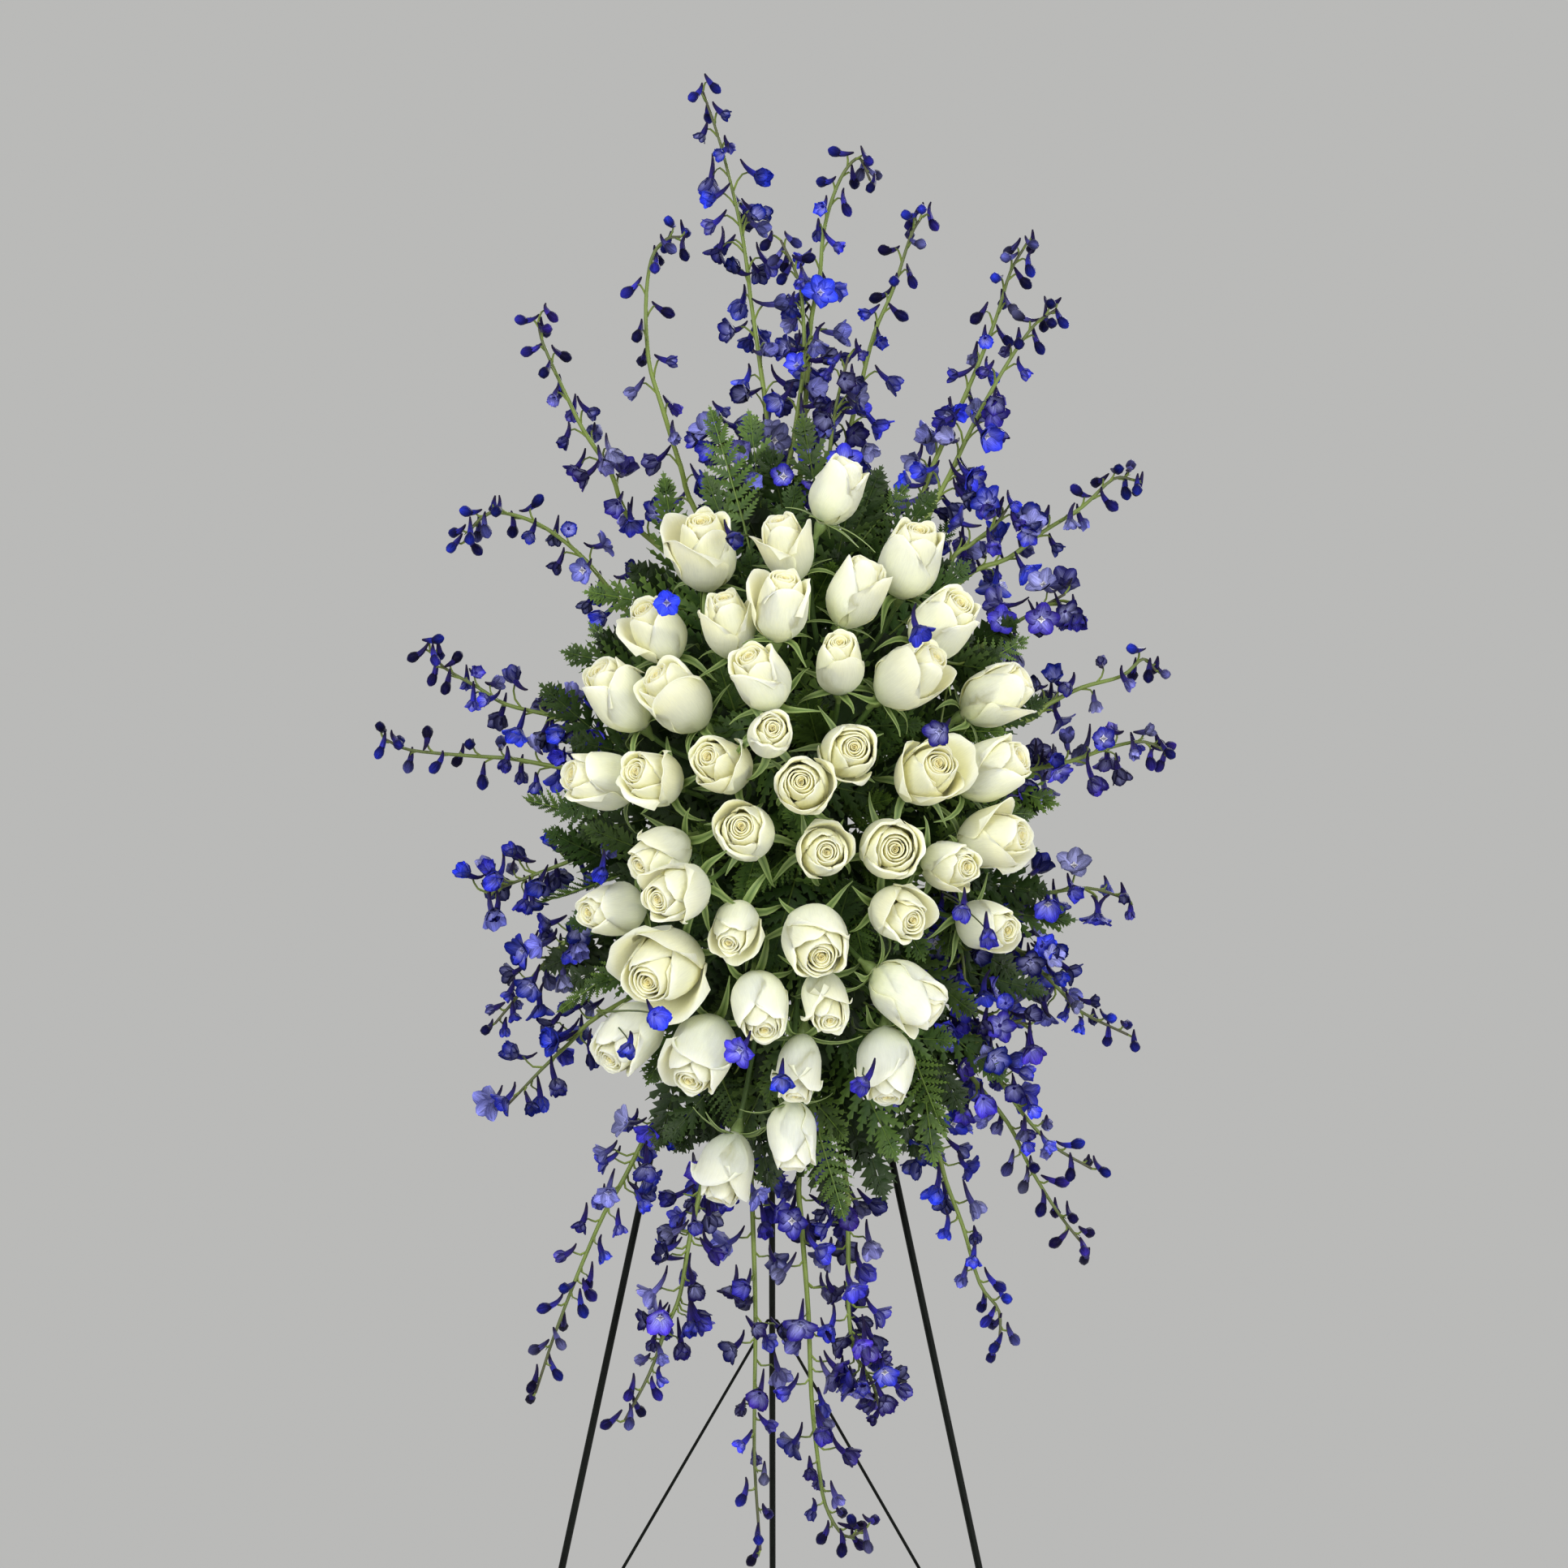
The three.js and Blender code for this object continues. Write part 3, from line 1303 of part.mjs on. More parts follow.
function layFronds(groups) {
  for (const group of groups) {
    group.places = group.fronds.map((frond, i) => {
      const tries = [];
      for (const nearer of [0, -10, 10, -20, 20, 30, -30, 45, 60, -45]) {
        for (const roll of [0, 0.35, -0.35, 0.7, -0.7, 1.05, -1.05]) {
          for (const narrow of [1, 0.75, 0.55]) {
            tries.push({ nearer, roll, narrow });
          }
        }
      }
      const placeOf = ({ nearer, roll, narrow }) => {
        const place = frondPlace(frond, nearer);
        place.wide *= narrow;
        place.roll = roll;
        return place;
      };
      const chosen = settle(tries, (one) => frondBalls(placeOf(one), one.roll), [group.name]);
      const place = placeOf(chosen);
      place.stem = settledStem(group, i, place.foot, place.arrival, FROND_STEM_RADIUS, [group.name]);
      take(frondBalls(place, place.roll), group.name);
      take(ballsAlong(place.stem, FROND_STEM_RADIUS), group.name);
      return place;
    });
  }
}

// A frond: its stem runs into the rib of one thin arched blade, whose leaflets are cut in to the rib
function frondSolid(place) {
  const { across, normal } = frondFrame(place, place.roll);
  const outline = { left: [], right: [] };
  for (let i = 0; i < FROND_PAIRS; i++) {
    const share = i / FROND_PAIRS;
    const root = place.rib.getPoint(share);
    const lean = place.rib.getPoint(Math.min(share + 0.75 / FROND_PAIRS, 1));
    const reach = pinnaReach(place, share + 0.3 / FROND_PAIRS);
    for (const [side, list] of [[1, outline.left], [-1, outline.right]]) {
      list.push(along(root, across, side * 1.6));
      list.push(along(along(lean, across, side * reach), normal, -reach * 0.12));
    }
  }
  const points = [];
  const faces = [];
  const count = 2 * FROND_PAIRS;
  for (const offset of [FROND_THICKNESS / 2, -FROND_THICKNESS / 2]) {
    for (const point of [...outline.left, ...outline.right, place.rib.getPoint(1)]) {
      points.push(along(point, normal, offset));
    }
  }
  const half = 2 * count + 1;
  const left = (i) => (i < count ? i : 2 * count);
  const right = (i) => (i < count ? count + i : 2 * count);
  const skin = [];
  for (let i = 0; i < count; i += 2) {
    skin.push([left(i), left(i + 1), left(i + 2)], [right(i), right(i + 2), right(i + 1)]);
    skin.push([left(i), left(i + 2), right(i)]);
    if (i + 2 < count) {
      skin.push([left(i + 2), right(i + 2), right(i)]);
    }
  }
  for (const [a, b, c] of skin) {
    faces.push(a, b, c, half + a, half + c, half + b);
  }
  for (let i = 0; i < count; i++) {
    for (const [a, b] of [[left(i), left(i + 1)], [right(i + 1), right(i)]]) {
      faces.push(a, half + b, b, a, half + a, half + b);
    }
  }
  const foot = [left(0), right(0), half + right(0), half + left(0)];
  stemOntoBlade(place, { across, normal, foot }, points, faces);
  const geometry = new THREE.BufferGeometry().setFromPoints(points);
  geometry.setIndex(faces);
  return solidFrom(geometry);
}

// Carries the four points at the blade's foot back along the stem as a square tube
function stemOntoBlade(place, { across, normal, foot }, points, faces) {
  let last = foot;
  for (const centre of place.stem.slice(0, -1).reverse()) {
    const here = points.length;
    for (const [side, face] of [[1, 1], [-1, 1], [-1, -1], [1, -1]]) {
      const corner = along(centre, across, side * FROND_STEM_RADIUS);
      points.push(along(corner, normal, face * FROND_STEM_RADIUS));
    }
    const next = [here, here + 1, here + 2, here + 3];
    for (let i = 0; i < 4; i++) {
      const k = (i + 1) % 4;
      faces.push(last[i], last[k], next[k], last[i], next[k], next[i]);
    }
    last = next;
  }
  faces.push(last[0], last[1], last[2], last[0], last[2], last[3]);
}

function frondGroup(group) {
  const start = bottomOf(group.hole, group.hole.deep - TOUCH);
  const end = bottomOf(group.hole, -SHARED_STEM_OUT);
  const shared = solidFrom(loft(start, sharedRings(group.hole), end));
  return joined([shared, ...group.places.map(frondSolid)]);
}

addNode("front_leg_left", frontLeg(-1), EASEL_BLACK);
addNode("front_leg_right", frontLeg(1), EASEL_BLACK);
addNode("hinge_bar", hingeBar(), EASEL_BLACK);
addNode("back_leg", backLeg(), EASEL_BLACK);
addNode("spreader", spreader(), EASEL_BLACK);
addNode("cross_bar", crossBar(), EASEL_BLACK);
addNode("top_hook", topHook(), EASEL_BLACK);
addNode("foam_cage", foamCage(), CAGE_GREEN);

const holes = makeHoles();
const roses = layRoses();
const spires = SPIRES.map((stems, g) => ({ name: groupName("delphiniums", g), spires: stems }));
const fronds = FRONDS.map((leaves, g) => ({ name: groupName("fern_fronds", g), fronds: leaves }));
giveHoles(roses, holes, "front", (group) => middleOf(group.places.map((place) => place.base)));
giveHoles(spires, holes, "side", (group) => {
  return middleOf(group.spires.map((spire) => seen(spire.way[0], spire.forward[0])));
});
giveHoles(fronds, holes, "front", (group) => {
  return middleOf(group.fronds.map((frond) => seen(frond.foot, frond.forward[0])));
});
layRoseStems(roses);
laySpires(spires);
layFlorets(spires);
layFronds(fronds);
growFlorets(spires);

addNode("floral_foam", floralFoam(holes), FOAM_GREEN);
for (const group of roses) {
  addNode(group.name, mainBody(roseGroup(group)), ROSE_IVORY);
}
for (const group of spires) {
  addNode(group.name, mainBody(spireGroup(group)), DELPHINIUM_BLUE);
}
for (const group of fronds) {
  addNode(group.name, mainBody(frondGroup(group)), FERN_GREEN);
}

export default spray;
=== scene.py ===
"""A standing funeral spray: white roses, blue delphiniums and leatherleaf fern, set in a caged
block of floral foam on a folding wire easel. The plants are laid out in the easel's own frame, in
millimetres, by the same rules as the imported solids, and each is then drawn finely in its place."""

import functools
import itertools
import json
import math
from types import SimpleNamespace as Record

import bpy
import numpy as np
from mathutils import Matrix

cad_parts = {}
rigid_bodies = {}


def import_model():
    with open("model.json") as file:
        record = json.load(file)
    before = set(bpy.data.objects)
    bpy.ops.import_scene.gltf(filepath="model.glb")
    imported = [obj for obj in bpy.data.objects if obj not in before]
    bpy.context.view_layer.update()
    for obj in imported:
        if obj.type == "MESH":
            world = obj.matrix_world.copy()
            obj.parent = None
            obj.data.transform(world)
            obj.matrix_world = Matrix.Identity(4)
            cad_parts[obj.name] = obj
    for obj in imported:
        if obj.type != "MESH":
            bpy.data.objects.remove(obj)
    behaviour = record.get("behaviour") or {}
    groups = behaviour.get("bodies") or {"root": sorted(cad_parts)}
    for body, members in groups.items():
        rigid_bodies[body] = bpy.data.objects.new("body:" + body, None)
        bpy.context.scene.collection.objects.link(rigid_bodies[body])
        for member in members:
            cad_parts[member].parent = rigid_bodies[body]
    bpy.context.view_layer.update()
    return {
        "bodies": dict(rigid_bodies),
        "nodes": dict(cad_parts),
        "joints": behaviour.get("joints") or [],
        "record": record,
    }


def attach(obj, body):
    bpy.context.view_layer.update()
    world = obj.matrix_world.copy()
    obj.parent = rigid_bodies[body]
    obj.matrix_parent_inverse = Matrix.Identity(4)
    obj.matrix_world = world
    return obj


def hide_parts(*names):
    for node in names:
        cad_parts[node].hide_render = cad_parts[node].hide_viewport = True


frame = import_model()

# The holder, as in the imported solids
EASEL_HEIGHT = 1372
FRONT_FOOT_Y = -200
TOUCH = 0.3
FOAM_X = 10
FOAM_WIDTH = 110
FOAM_HEIGHT = 300
FOAM_DEPTH = 76
FOAM_BACK_Y = -54
FOAM_MIDDLE_HEIGHT = 1228
CAGE_WALL = 3
CAGE_ROWS = 5
ROW_PITCH = 58
SHARED_STEM_RADIUS = 4.6
SHARED_STEM_OUT = 12
STEM_SUNK = 3
ROOT_ASIDE = 1.2
# Where the stems' holes are, from the middle of a row of the cage or of the foam's end
SIDE_HOLE_Y = -86
HOLE_UP = 13
FRONT_HOLES_X = (-38, -16, 16, 38)
END_HOLES_X = (-29, -10, 10, 29)
# How far in front of the legs the flowers stay
LEG_CLEAR = 10
# The middle of the row's frame, as seen from the easel's own frame
MIDDLE = np.array([7.0, 28.0, 0.0])
METRE = 1000

# The photograph's frame: 1932 pixels square, seen level from the front
PHOTO_MIDDLE = 966
MM_PER_PIXEL = 0.76
VIEW_DISTANCE = 2300
VIEW_X = 12
VIEW_HEIGHT = 1261

# The flowers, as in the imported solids. A bloom's length follows its width, but changes by this
# much at most
ROSE_LENGTH = 66
ROSE_LENGTH_CHANGE = 6
ROSE_LENGTH_TO_RADIUS = 2.75
ROSE_MIDDLE_UP = 0.52
# How far a tip is from its bloom's middle, in pixels, when the bloom is seen square from the side
ROSE_HALF_PIXELS = 49
ROSE_FLATTEST = 0.97
# The balls that stand for a bloom: heights and radii as shares of its length and radius
ROSE_BALLS = ((0.2, 0.9), (0.46, 1.06), (0.68, 1.02), (0.84, 1.0))
ROSE_STEM_RADIUS = 2.6
# The dome that the roses lie on: its middle and half sizes in pixels, how far forward in mm
ROSE_MIDDLE = (985, 1010)
ROSE_WIDE = 300
ROSE_HIGH = 500
ROSE_NEAR = 150
ROSE_BULGE = 150
FLORET_RADIUS = 12.5
BUD_RADIUS = 4.2
SPIRE_FOOT_RADIUS = 2.6
SPIRE_TURN = 12
FROND_STEM_RADIUS = 1.2
FROND_ARCH = 8
FROND_BALL_RADIUS = 1.4
FROND_BALLS_ACROSS = np.array([-0.95, -0.5, 0, 0.5, 0.95])
GOLDEN_ANGLE = 2.39996
# The first point of a delphinium's stem that stands clear of the foam
FIRST_SEEN = 8

# How a piece finds room: the space that is enough, what is tried in turn, and how far off counts
ENOUGH = 1.6
JUST_CLEAR = 0.4
NEAR = 150
FAR = 100
BALL_STEP = 5
STEM_SHIFTS = (8, 16, 26, 38, 52)
DOME_STEPS = (0, 8, -8, 16, -16, 24, -24, 32, -32, 42, -42, 54)
FLORET_TURNS = (0, 0.5, -0.5, 1, -1, 1.6, -1.6, 2.3, -2.3, 3)
FLORET_SHORTER = (1, 0.8, 0.6)
FROND_STEPS = (0, -10, 10, -20, 20, 30, -30, 45, 60, -45)
FROND_ROLLS = (0, 0.35, -0.35, 0.7, -0.7, 1.05, -1.05)
FROND_NARROWER = (1, 0.75, 0.55)

# Roses, two or so to a shared hole: the middle of each bloom, its tip and its width, in pixels
ROSES = [
    [((1032, 605), (1054, 560), 64), ((1055, 730), (1075, 685), 68)],
    [((868, 680), (864, 642), 78), ((898, 770), (891, 729), 62)],
    [((970, 675), (957, 634), 60), ((962, 747), (968, 706), 68)],
    [((1122, 690), (1133, 652), 76), ((1160, 770), (1185, 741), 74)],
    [((810, 778), (790, 745), 66), ((835, 860), (805, 828), 74)],
    [((938, 835), (919, 803), 68), ((949, 904), (953, 896), 56)],
    [((1034, 818), (1034, 785), 60), ((1045, 926), (1053, 920), 70)],
    [((1122, 833), (1156, 808), 76), ((1142, 953), (1156, 939), 76)],
    [((1227, 857), (1272, 830), 70), ((1221, 949), (1260, 931), 74)],
    [((763, 858), (736, 823), 74), ((741, 961), (700, 952), 72)],
    [((805, 959), (779, 948), 66), ((889, 943), (868, 930), 68)],
    [((990, 968), (986, 962), 70), ((1014, 1050), (1019, 1049), 64)],
    [((919, 1025), (912, 1016), 70), ((906, 1143), (897, 1165), 58)],
    [((1097, 1046), (1102, 1045), 76), ((1171, 1067), (1195, 1067), 62)],
    [((1224, 1033), (1264, 1028), 70), ((1216, 1140), (1248, 1146), 62)],
    [((814, 1052), (782, 1070), 62), ((834, 1100), (808, 1108), 72)],
    [((755, 1121), (718, 1124), 66), ((776, 1277), (750, 1306), 74)],
    [((1005, 1160), (1012, 1178), 84), ((1017, 1232), (1024, 1262), 56)],
    [((1107, 1125), (1128, 1134), 66), ((1117, 1225), (1156, 1253), 74)],
    [((819, 1191), (798, 1209), 96), ((865, 1298), (849, 1332), 80)],
    [((937, 1239), (943, 1271), 72), ((896, 1440), (884, 1485), 66)],
    [((985, 1316), (979, 1358), 54), ((976, 1400), (977, 1446), 62)],
    [((1092, 1313), (1092, 1356), 72)],
]

# Delphiniums: each stem's way in pixels out to its tip, how far forward it starts and ends in mm,
# and how many florets it carries, of which the first are open and the others buds
SPIRES = [
    [([(945, 640), (944, 516), (937, 453), (926, 376), (916, 298), (901, 228), (884, 165),
       (866, 113)], (105, 70), 27, 20),
     ([(915, 660), (902, 600), (892, 545), (880, 520)], (120, 110), 12, 9)],
    [([(985, 600), (992, 500), (996, 439), (1000, 390), (1010, 340), (1014, 291), (1024, 249),
       (1040, 212), (1059, 195), (1072, 222)], (95, 75), 21, 9),
     ([(968, 610), (978, 540), (990, 450), (989, 382), (982, 340), (962, 296)],
       (112, 100), 24, 12)],
    [([(1030, 620), (1042, 551), (1059, 481), (1077, 411), (1101, 355), (1122, 291), (1135, 268)],
       (100, 75), 24, 9),
     ([(1018, 640), (1022, 560), (1030, 500), (1045, 440)], (122, 108), 12, 9)],
    [([(857, 627), (838, 572), (814, 495), (800, 446), (796, 376), (803, 319), (821, 295),
       (838, 292)], (100, 85), 18, 3),
     ([(786, 649), (751, 579), (719, 530), (695, 481), (670, 425), (663, 397)],
       (110, 95), 18, 6)],
    [([(1140, 600), (1175, 520), (1205, 450), (1228, 390), (1245, 335), (1265, 300)],
       (98, 80), 21, 6),
     ([(1138, 650), (1170, 585), (1205, 512), (1243, 445), (1275, 400), (1300, 382)],
       (118, 108), 21, 9)],
    [([(1180, 720), (1242, 688), (1284, 656), (1333, 625), (1372, 590), (1400, 592)],
       (105, 95), 18, 6),
     ([(1165, 700), (1195, 672), (1225, 648), (1240, 628)], (128, 125), 9, 6)],
    [([(790, 773), (750, 724), (711, 680), (662, 645), (611, 631), (586, 645), (572, 668)],
       (105, 95), 21, 6)],
    [([(765, 917), (716, 893), (681, 882), (624, 868), (589, 847), (548, 823), (530, 800)],
       (110, 100), 24, 12),
     ([(731, 950), (681, 944), (631, 935), (575, 931), (505, 924), (473, 910)],
       (118, 110), 18, 3)],
    [([(760, 1040), (700, 1062), (645, 1083), (600, 1100)], (112, 105), 12, 12),
     ([(730, 1130), (702, 1156), (667, 1191), (640, 1225), (610, 1261)], (120, 115), 18, 12)],
    [([(740, 1250), (702, 1285), (667, 1318), (625, 1362)], (118, 112), 9, 9),
     ([(821, 1349), (795, 1400), (770, 1450), (744, 1496), (716, 1560), (702, 1595), (681, 1651),
       (660, 1716)], (105, 150), 24, 9)],
    [([(877, 1405), (863, 1468), (849, 1531), (838, 1595), (821, 1637), (800, 1693), (770, 1750)],
       (120, 165), 27, 18),
     ([(925, 1420), (928, 1510), (931, 1616), (930, 1721), (930, 1805), (937, 1910)],
       (105, 160), 21, 12)],
    [([(985, 1440), (988, 1510), (996, 1616), (1000, 1721), (1007, 1791), (1017, 1854),
       (1040, 1892), (1064, 1886)], (120, 170), 27, 15),
     ([(1040, 1440), (1045, 1520), (1045, 1602), (1052, 1665), (1073, 1700), (1084, 1736)],
       (115, 150), 24, 21)],
    [([(1130, 1350), (1151, 1398), (1165, 1454), (1186, 1510), (1207, 1581), (1231, 1616),
       (1231, 1660)], (105, 150), 21, 9),
     ([(1170, 1280), (1193, 1321), (1242, 1384), (1270, 1440), (1305, 1496), (1340, 1540)],
       (110, 130), 21, 6)],
    [([(1190, 1270), (1225, 1320), (1260, 1372), (1298, 1412), (1345, 1440)], (128, 135), 15, 6),
     ([(1160, 1210), (1195, 1240), (1230, 1255), (1270, 1262)], (140, 140), 12, 12)],
    [([(1190, 1100), (1242, 1159), (1263, 1177), (1305, 1219), (1333, 1247), (1390, 1275)],
       (108, 105), 24, 15),
     ([(1228, 1085), (1280, 1100), (1340, 1094), (1390, 1108)], (120, 115), 9, 6)],
    [([(1230, 960), (1270, 949), (1319, 938), (1368, 921), (1410, 914), (1443, 930)],
       (110, 100), 21, 12),
     ([(1250, 892), (1291, 868), (1333, 847), (1382, 833), (1408, 812), (1424, 826)],
       (105, 95), 12, 3)],
    [([(1195, 810), (1235, 778), (1272, 755), (1312, 732)], (125, 120), 9, 9),
     ([(1150, 1080), (1172, 1130), (1186, 1180), (1190, 1235)], (150, 150), 12, 12)],
]

# Fern fronds: the foot and tip of each blade in pixels, how far forward it starts and ends in mm,
# and its width in mm
FRONDS = [
    [((1055, 675), (1116, 600), (125, 135), 62), ((1120, 720), (1184, 628), (128, 120), 66)],
    [((915, 640), (876, 506), (135, 120), 60), ((905, 875), (880, 802), (150, 178), 42)],
    [((800, 845), (728, 770), (125, 125), 60), ((745, 1010), (648, 985), (128, 125), 66)],
    [((1180, 835), (1264, 787), (125, 135), 58), ((1160, 900), (1236, 902), (150, 180), 54)],
    [((1080, 940), (1099, 848), (170, 225), 56), ((1040, 1000), (1096, 985), (180, 240), 50)],
    [((985, 1040), (925, 1095), (180, 240), 52), ((930, 900), (868, 884), (170, 215), 50)],
    [((1180, 1000), (1272, 1003), (135, 140), 56), ((1060, 1060), (1130, 1105), (170, 220), 54)],
    [((1125, 1300), (1163, 1398), (130, 140), 58), ((1010, 1400), (1040, 1500), (140, 155), 60)],
    [((770, 1185), (690, 1245), (130, 130), 60), ((760, 1080), (668, 1112), (125, 120), 62)],
    [((965, 1130), (950, 1195), (170, 225), 48), ((1050, 1120), (1066, 1190), (165, 215), 50)],
    [((860, 1010), (868, 1082), (160, 200), 50), ((890, 1330), (920, 1400), (150, 160), 56)],
]

seed = 20261


def draw():
    """Draws from 0 to 1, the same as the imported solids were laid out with"""
    global seed
    seed = (seed * 1664525 + 1013904223) % 4294967296
    return seed / 4294967296


def between(low, high):
    return low + (high - low) * draw()


def vec(x, y, z):
    return np.array([x, y, z], float)


def length_of(vector):
    return math.sqrt(float(vector @ vector))


def unit(vector):
    return vector / (length_of(vector) or 1)


def distance(a, b):
    return length_of(a - b)


def scale_at(forward):
    """Millimetres to a pixel, so many millimetres forward of the easel's top"""
    return MM_PER_PIXEL * (VIEW_DISTANCE - forward) / VIEW_DISTANCE


def seen(pixel, forward):
    """A point that the photograph shows at a pixel, so many mm forward of the easel's top"""
    scale = scale_at(forward)
    return vec(
        VIEW_X + (pixel[0] - PHOTO_MIDDLE) * scale,
        -forward,
        VIEW_HEIGHT - (pixel[1] - PHOTO_MIDDLE) * scale,
    )


def sideways(direction):
    """Two vectors of a length of 1, square to a direction and to each other"""
    helper = vec(0, 0, 1) if abs(direction[2]) < 0.9 else vec(0, 1, 0)
    first = unit(np.cross(helper, direction))
    return first, np.cross(direction, first)


def around(frame, angle):
    """The way out at an angle about an axis, and the way on round it"""
    first, second = frame
    out = first * math.cos(angle) + second * math.sin(angle)
    return out, second * math.cos(angle) - first * math.sin(angle)


def bezier(points, steps):
    """Points along a curve with two, three or four control points"""
    share = np.linspace(0, 1, steps + 1)[:, None]
    level = [np.asarray(point, float)[None, :] + 0 * share for point in points]
    while len(level) > 1:
        level = [a + (b - a) * share for a, b in zip(level, level[1:])]
    return level[0]


def catmull_rom(points, steps):
    """Points along a smooth curve through points"""
    ends = [2 * points[0] - points[1], *points, 2 * points[-1] - points[-2]]
    last = len(points) - 1
    curve = []
    for step in range(steps + 1):
        place = last * step / steps
        index = min(int(place), last - 1)
        t = place - index
        x0, x1, x2, x3 = ends[index:index + 4]
        t0 = 0.5 * (x2 - x0)
        t1 = 0.5 * (x3 - x1)
        c2 = -3 * x1 + 3 * x2 - 2 * t0 - t1
        c3 = 2 * x1 - 2 * x2 + t0 + t1
        curve.append(x1 + t0 * t + c2 * t * t + c3 * t * t * t)
    return np.array(curve)


foam_half = vec(FOAM_WIDTH / 2, FOAM_DEPTH / 2, FOAM_HEIGHT / 2)
foam_low = vec(FOAM_X, FOAM_BACK_Y - FOAM_DEPTH / 2, FOAM_MIDDLE_HEIGHT) - foam_half
foam_high = foam_low + 2 * foam_half
cage_low = foam_low - TOUCH - CAGE_WALL
cage_high = foam_high + TOUCH + CAGE_WALL


def make_holes():
    """Where the stems can enter the foam: on its front, and on its sides, top and bottom"""
    found = []

    def hole(face, at, out):
        found.append(Record(face=face, at=vec(*at), out=vec(*out), used=False))

    for row in range(CAGE_ROWS):
        middle = FOAM_MIDDLE_HEIGHT + (row - (CAGE_ROWS - 1) / 2) * ROW_PITCH
        for z in (middle - HOLE_UP, middle + HOLE_UP):
            for across in FRONT_HOLES_X:
                hole("front", (FOAM_X + across, foam_low[1], z), (0, -1, 0))
            for side in (-1, 1):
                hole("side", (FOAM_X + side * FOAM_WIDTH / 2, SIDE_HOLE_Y, z), (side, 0, 0))
    for across in END_HOLES_X:
        for end in (-1, 1):
            z = FOAM_MIDDLE_HEIGHT + end * FOAM_HEIGHT / 2
            hole("side", (FOAM_X + across, SIDE_HOLE_Y, z), (0, 0, end))
    return found


def nearest_hole(target, face):
    """The free hole nearest to a point and facing it best"""
    def score(hole):
        way = target - hole.at
        length = length_of(way)
        return length * (1.6 - float(way @ hole.out) / length)

    best = min((hole for hole in holes if hole.face == face and not hole.used), key=score)
    best.used = True
    return best


class Taken:
    """What is already placed, as balls that later pieces keep clear of"""

    def __init__(self):
        self.balls = np.zeros((0, 4))
        self.owners = np.zeros(0, int)
        self.names = {}

    def number(self, owner):
        return self.names.setdefault(owner, len(self.names))

    def take(self, balls, owner):
        self.balls = np.vstack([self.balls, balls])
        self.owners = np.append(self.owners, np.full(len(balls), self.number(owner)))

    def near(self, balls, ignored):
        """The placed balls that could touch these ones, moved a little"""
        low = balls[:, :3].min(0) - NEAR
        high = balls[:, :3].max(0) + NEAR
        close = np.all((self.balls[:, :3] > low) & (self.balls[:, :3] < high), axis=1)
        for owner in ignored:
            close &= self.owners != self.number(owner)
        return self.balls[close]


taken = Taken()


def holder_gap(balls):
    """The space between balls and the cage or the plane of the legs"""
    past = np.maximum(cage_low - balls[:, :3], balls[:, :3] - cage_high)
    outside = np.sqrt((np.maximum(past, 0) ** 2).sum(1))
    cage_gap = np.where(outside > 0, outside, past.max(1))
    leg_forward = -FRONT_FOOT_Y * (EASEL_HEIGHT - balls[:, 2]) / EASEL_HEIGHT
    leg_gap = np.where(balls[:, 2] < EASEL_HEIGHT, -balls[:, 1] - leg_forward - LEG_CLEAR, FAR)
    return float((np.minimum(cage_gap, leg_gap) - balls[:, 3]).min())


def clearance(balls, others):
    least = holder_gap(balls)
    if len(others):
        apart = np.linalg.norm(balls[:, None, :3] - others[None, :, :3], axis=2)
        least = min(least, float((apart - balls[:, None, 3] - others[None, :, 3]).min()))
    return least


def settle(tries, balls_of, ignored):
    """The first of several tries that is clear of everything placed, or else the clearest"""
    best = None
    most = -math.inf
    others = None
    for attempt in tries:
        balls = balls_of(attempt)
        if others is None:
            others = taken.near(balls, ignored)
        gap = clearance(balls, others)
        if gap > most:
            most = gap
            best = attempt
        if gap >= ENOUGH:
            break
    return best


def with_radius(points, radius):
    return np.column_stack([points, np.full(len(points), float(radius))])


def balls_along(points, radius):
    balls = []
    for here, there in zip(points, points[1:]):
        pieces = max(1, math.ceil(distance(here, there) / BALL_STEP))
        balls += [here + (there - here) * (k / pieces) for k in range(pieces)]
    return with_radius(np.array([*balls, points[-1]]), radius)


def shifts(steps):
    """Shifts tried in turn when a stem has to be bent clear"""
    found = [vec(0, 0, 0)]
    for step in steps:
        for way in ((1, 0, 0), (-1, 0, 0), (0, -1, 0), (0, 0, 1), (0, 0, -1), (0, 1, 0)):
            found.append(vec(*way) * step)
        for x, z in ((0.7, 0.7), (-0.7, 0.7), (0.7, -0.7), (-0.7, -0.7)):
            found.append(vec(x * step, -0.3 * step, z * step))
    return found


def stem_start(hole, index):
    """Where a stem starts, in the end of its shared stem"""
    across = sideways(hole.out)[0]
    return hole.at + hole.out * (SHARED_STEM_OUT - STEM_SUNK) + across * (index * ROOT_ASIDE)


def stem_points(hole, index, end, arrival, shift, steps):
    """A stem from its hole to a point, arriving in a given direction"""
    start = stem_start(hole, index)
    reach = distance(start, end)
    near = start + hole.out * (reach * 0.3) + shift * 0.6
    far = end - arrival * (reach * 0.35) + shift
    return bezier([start, near, far, end], steps)


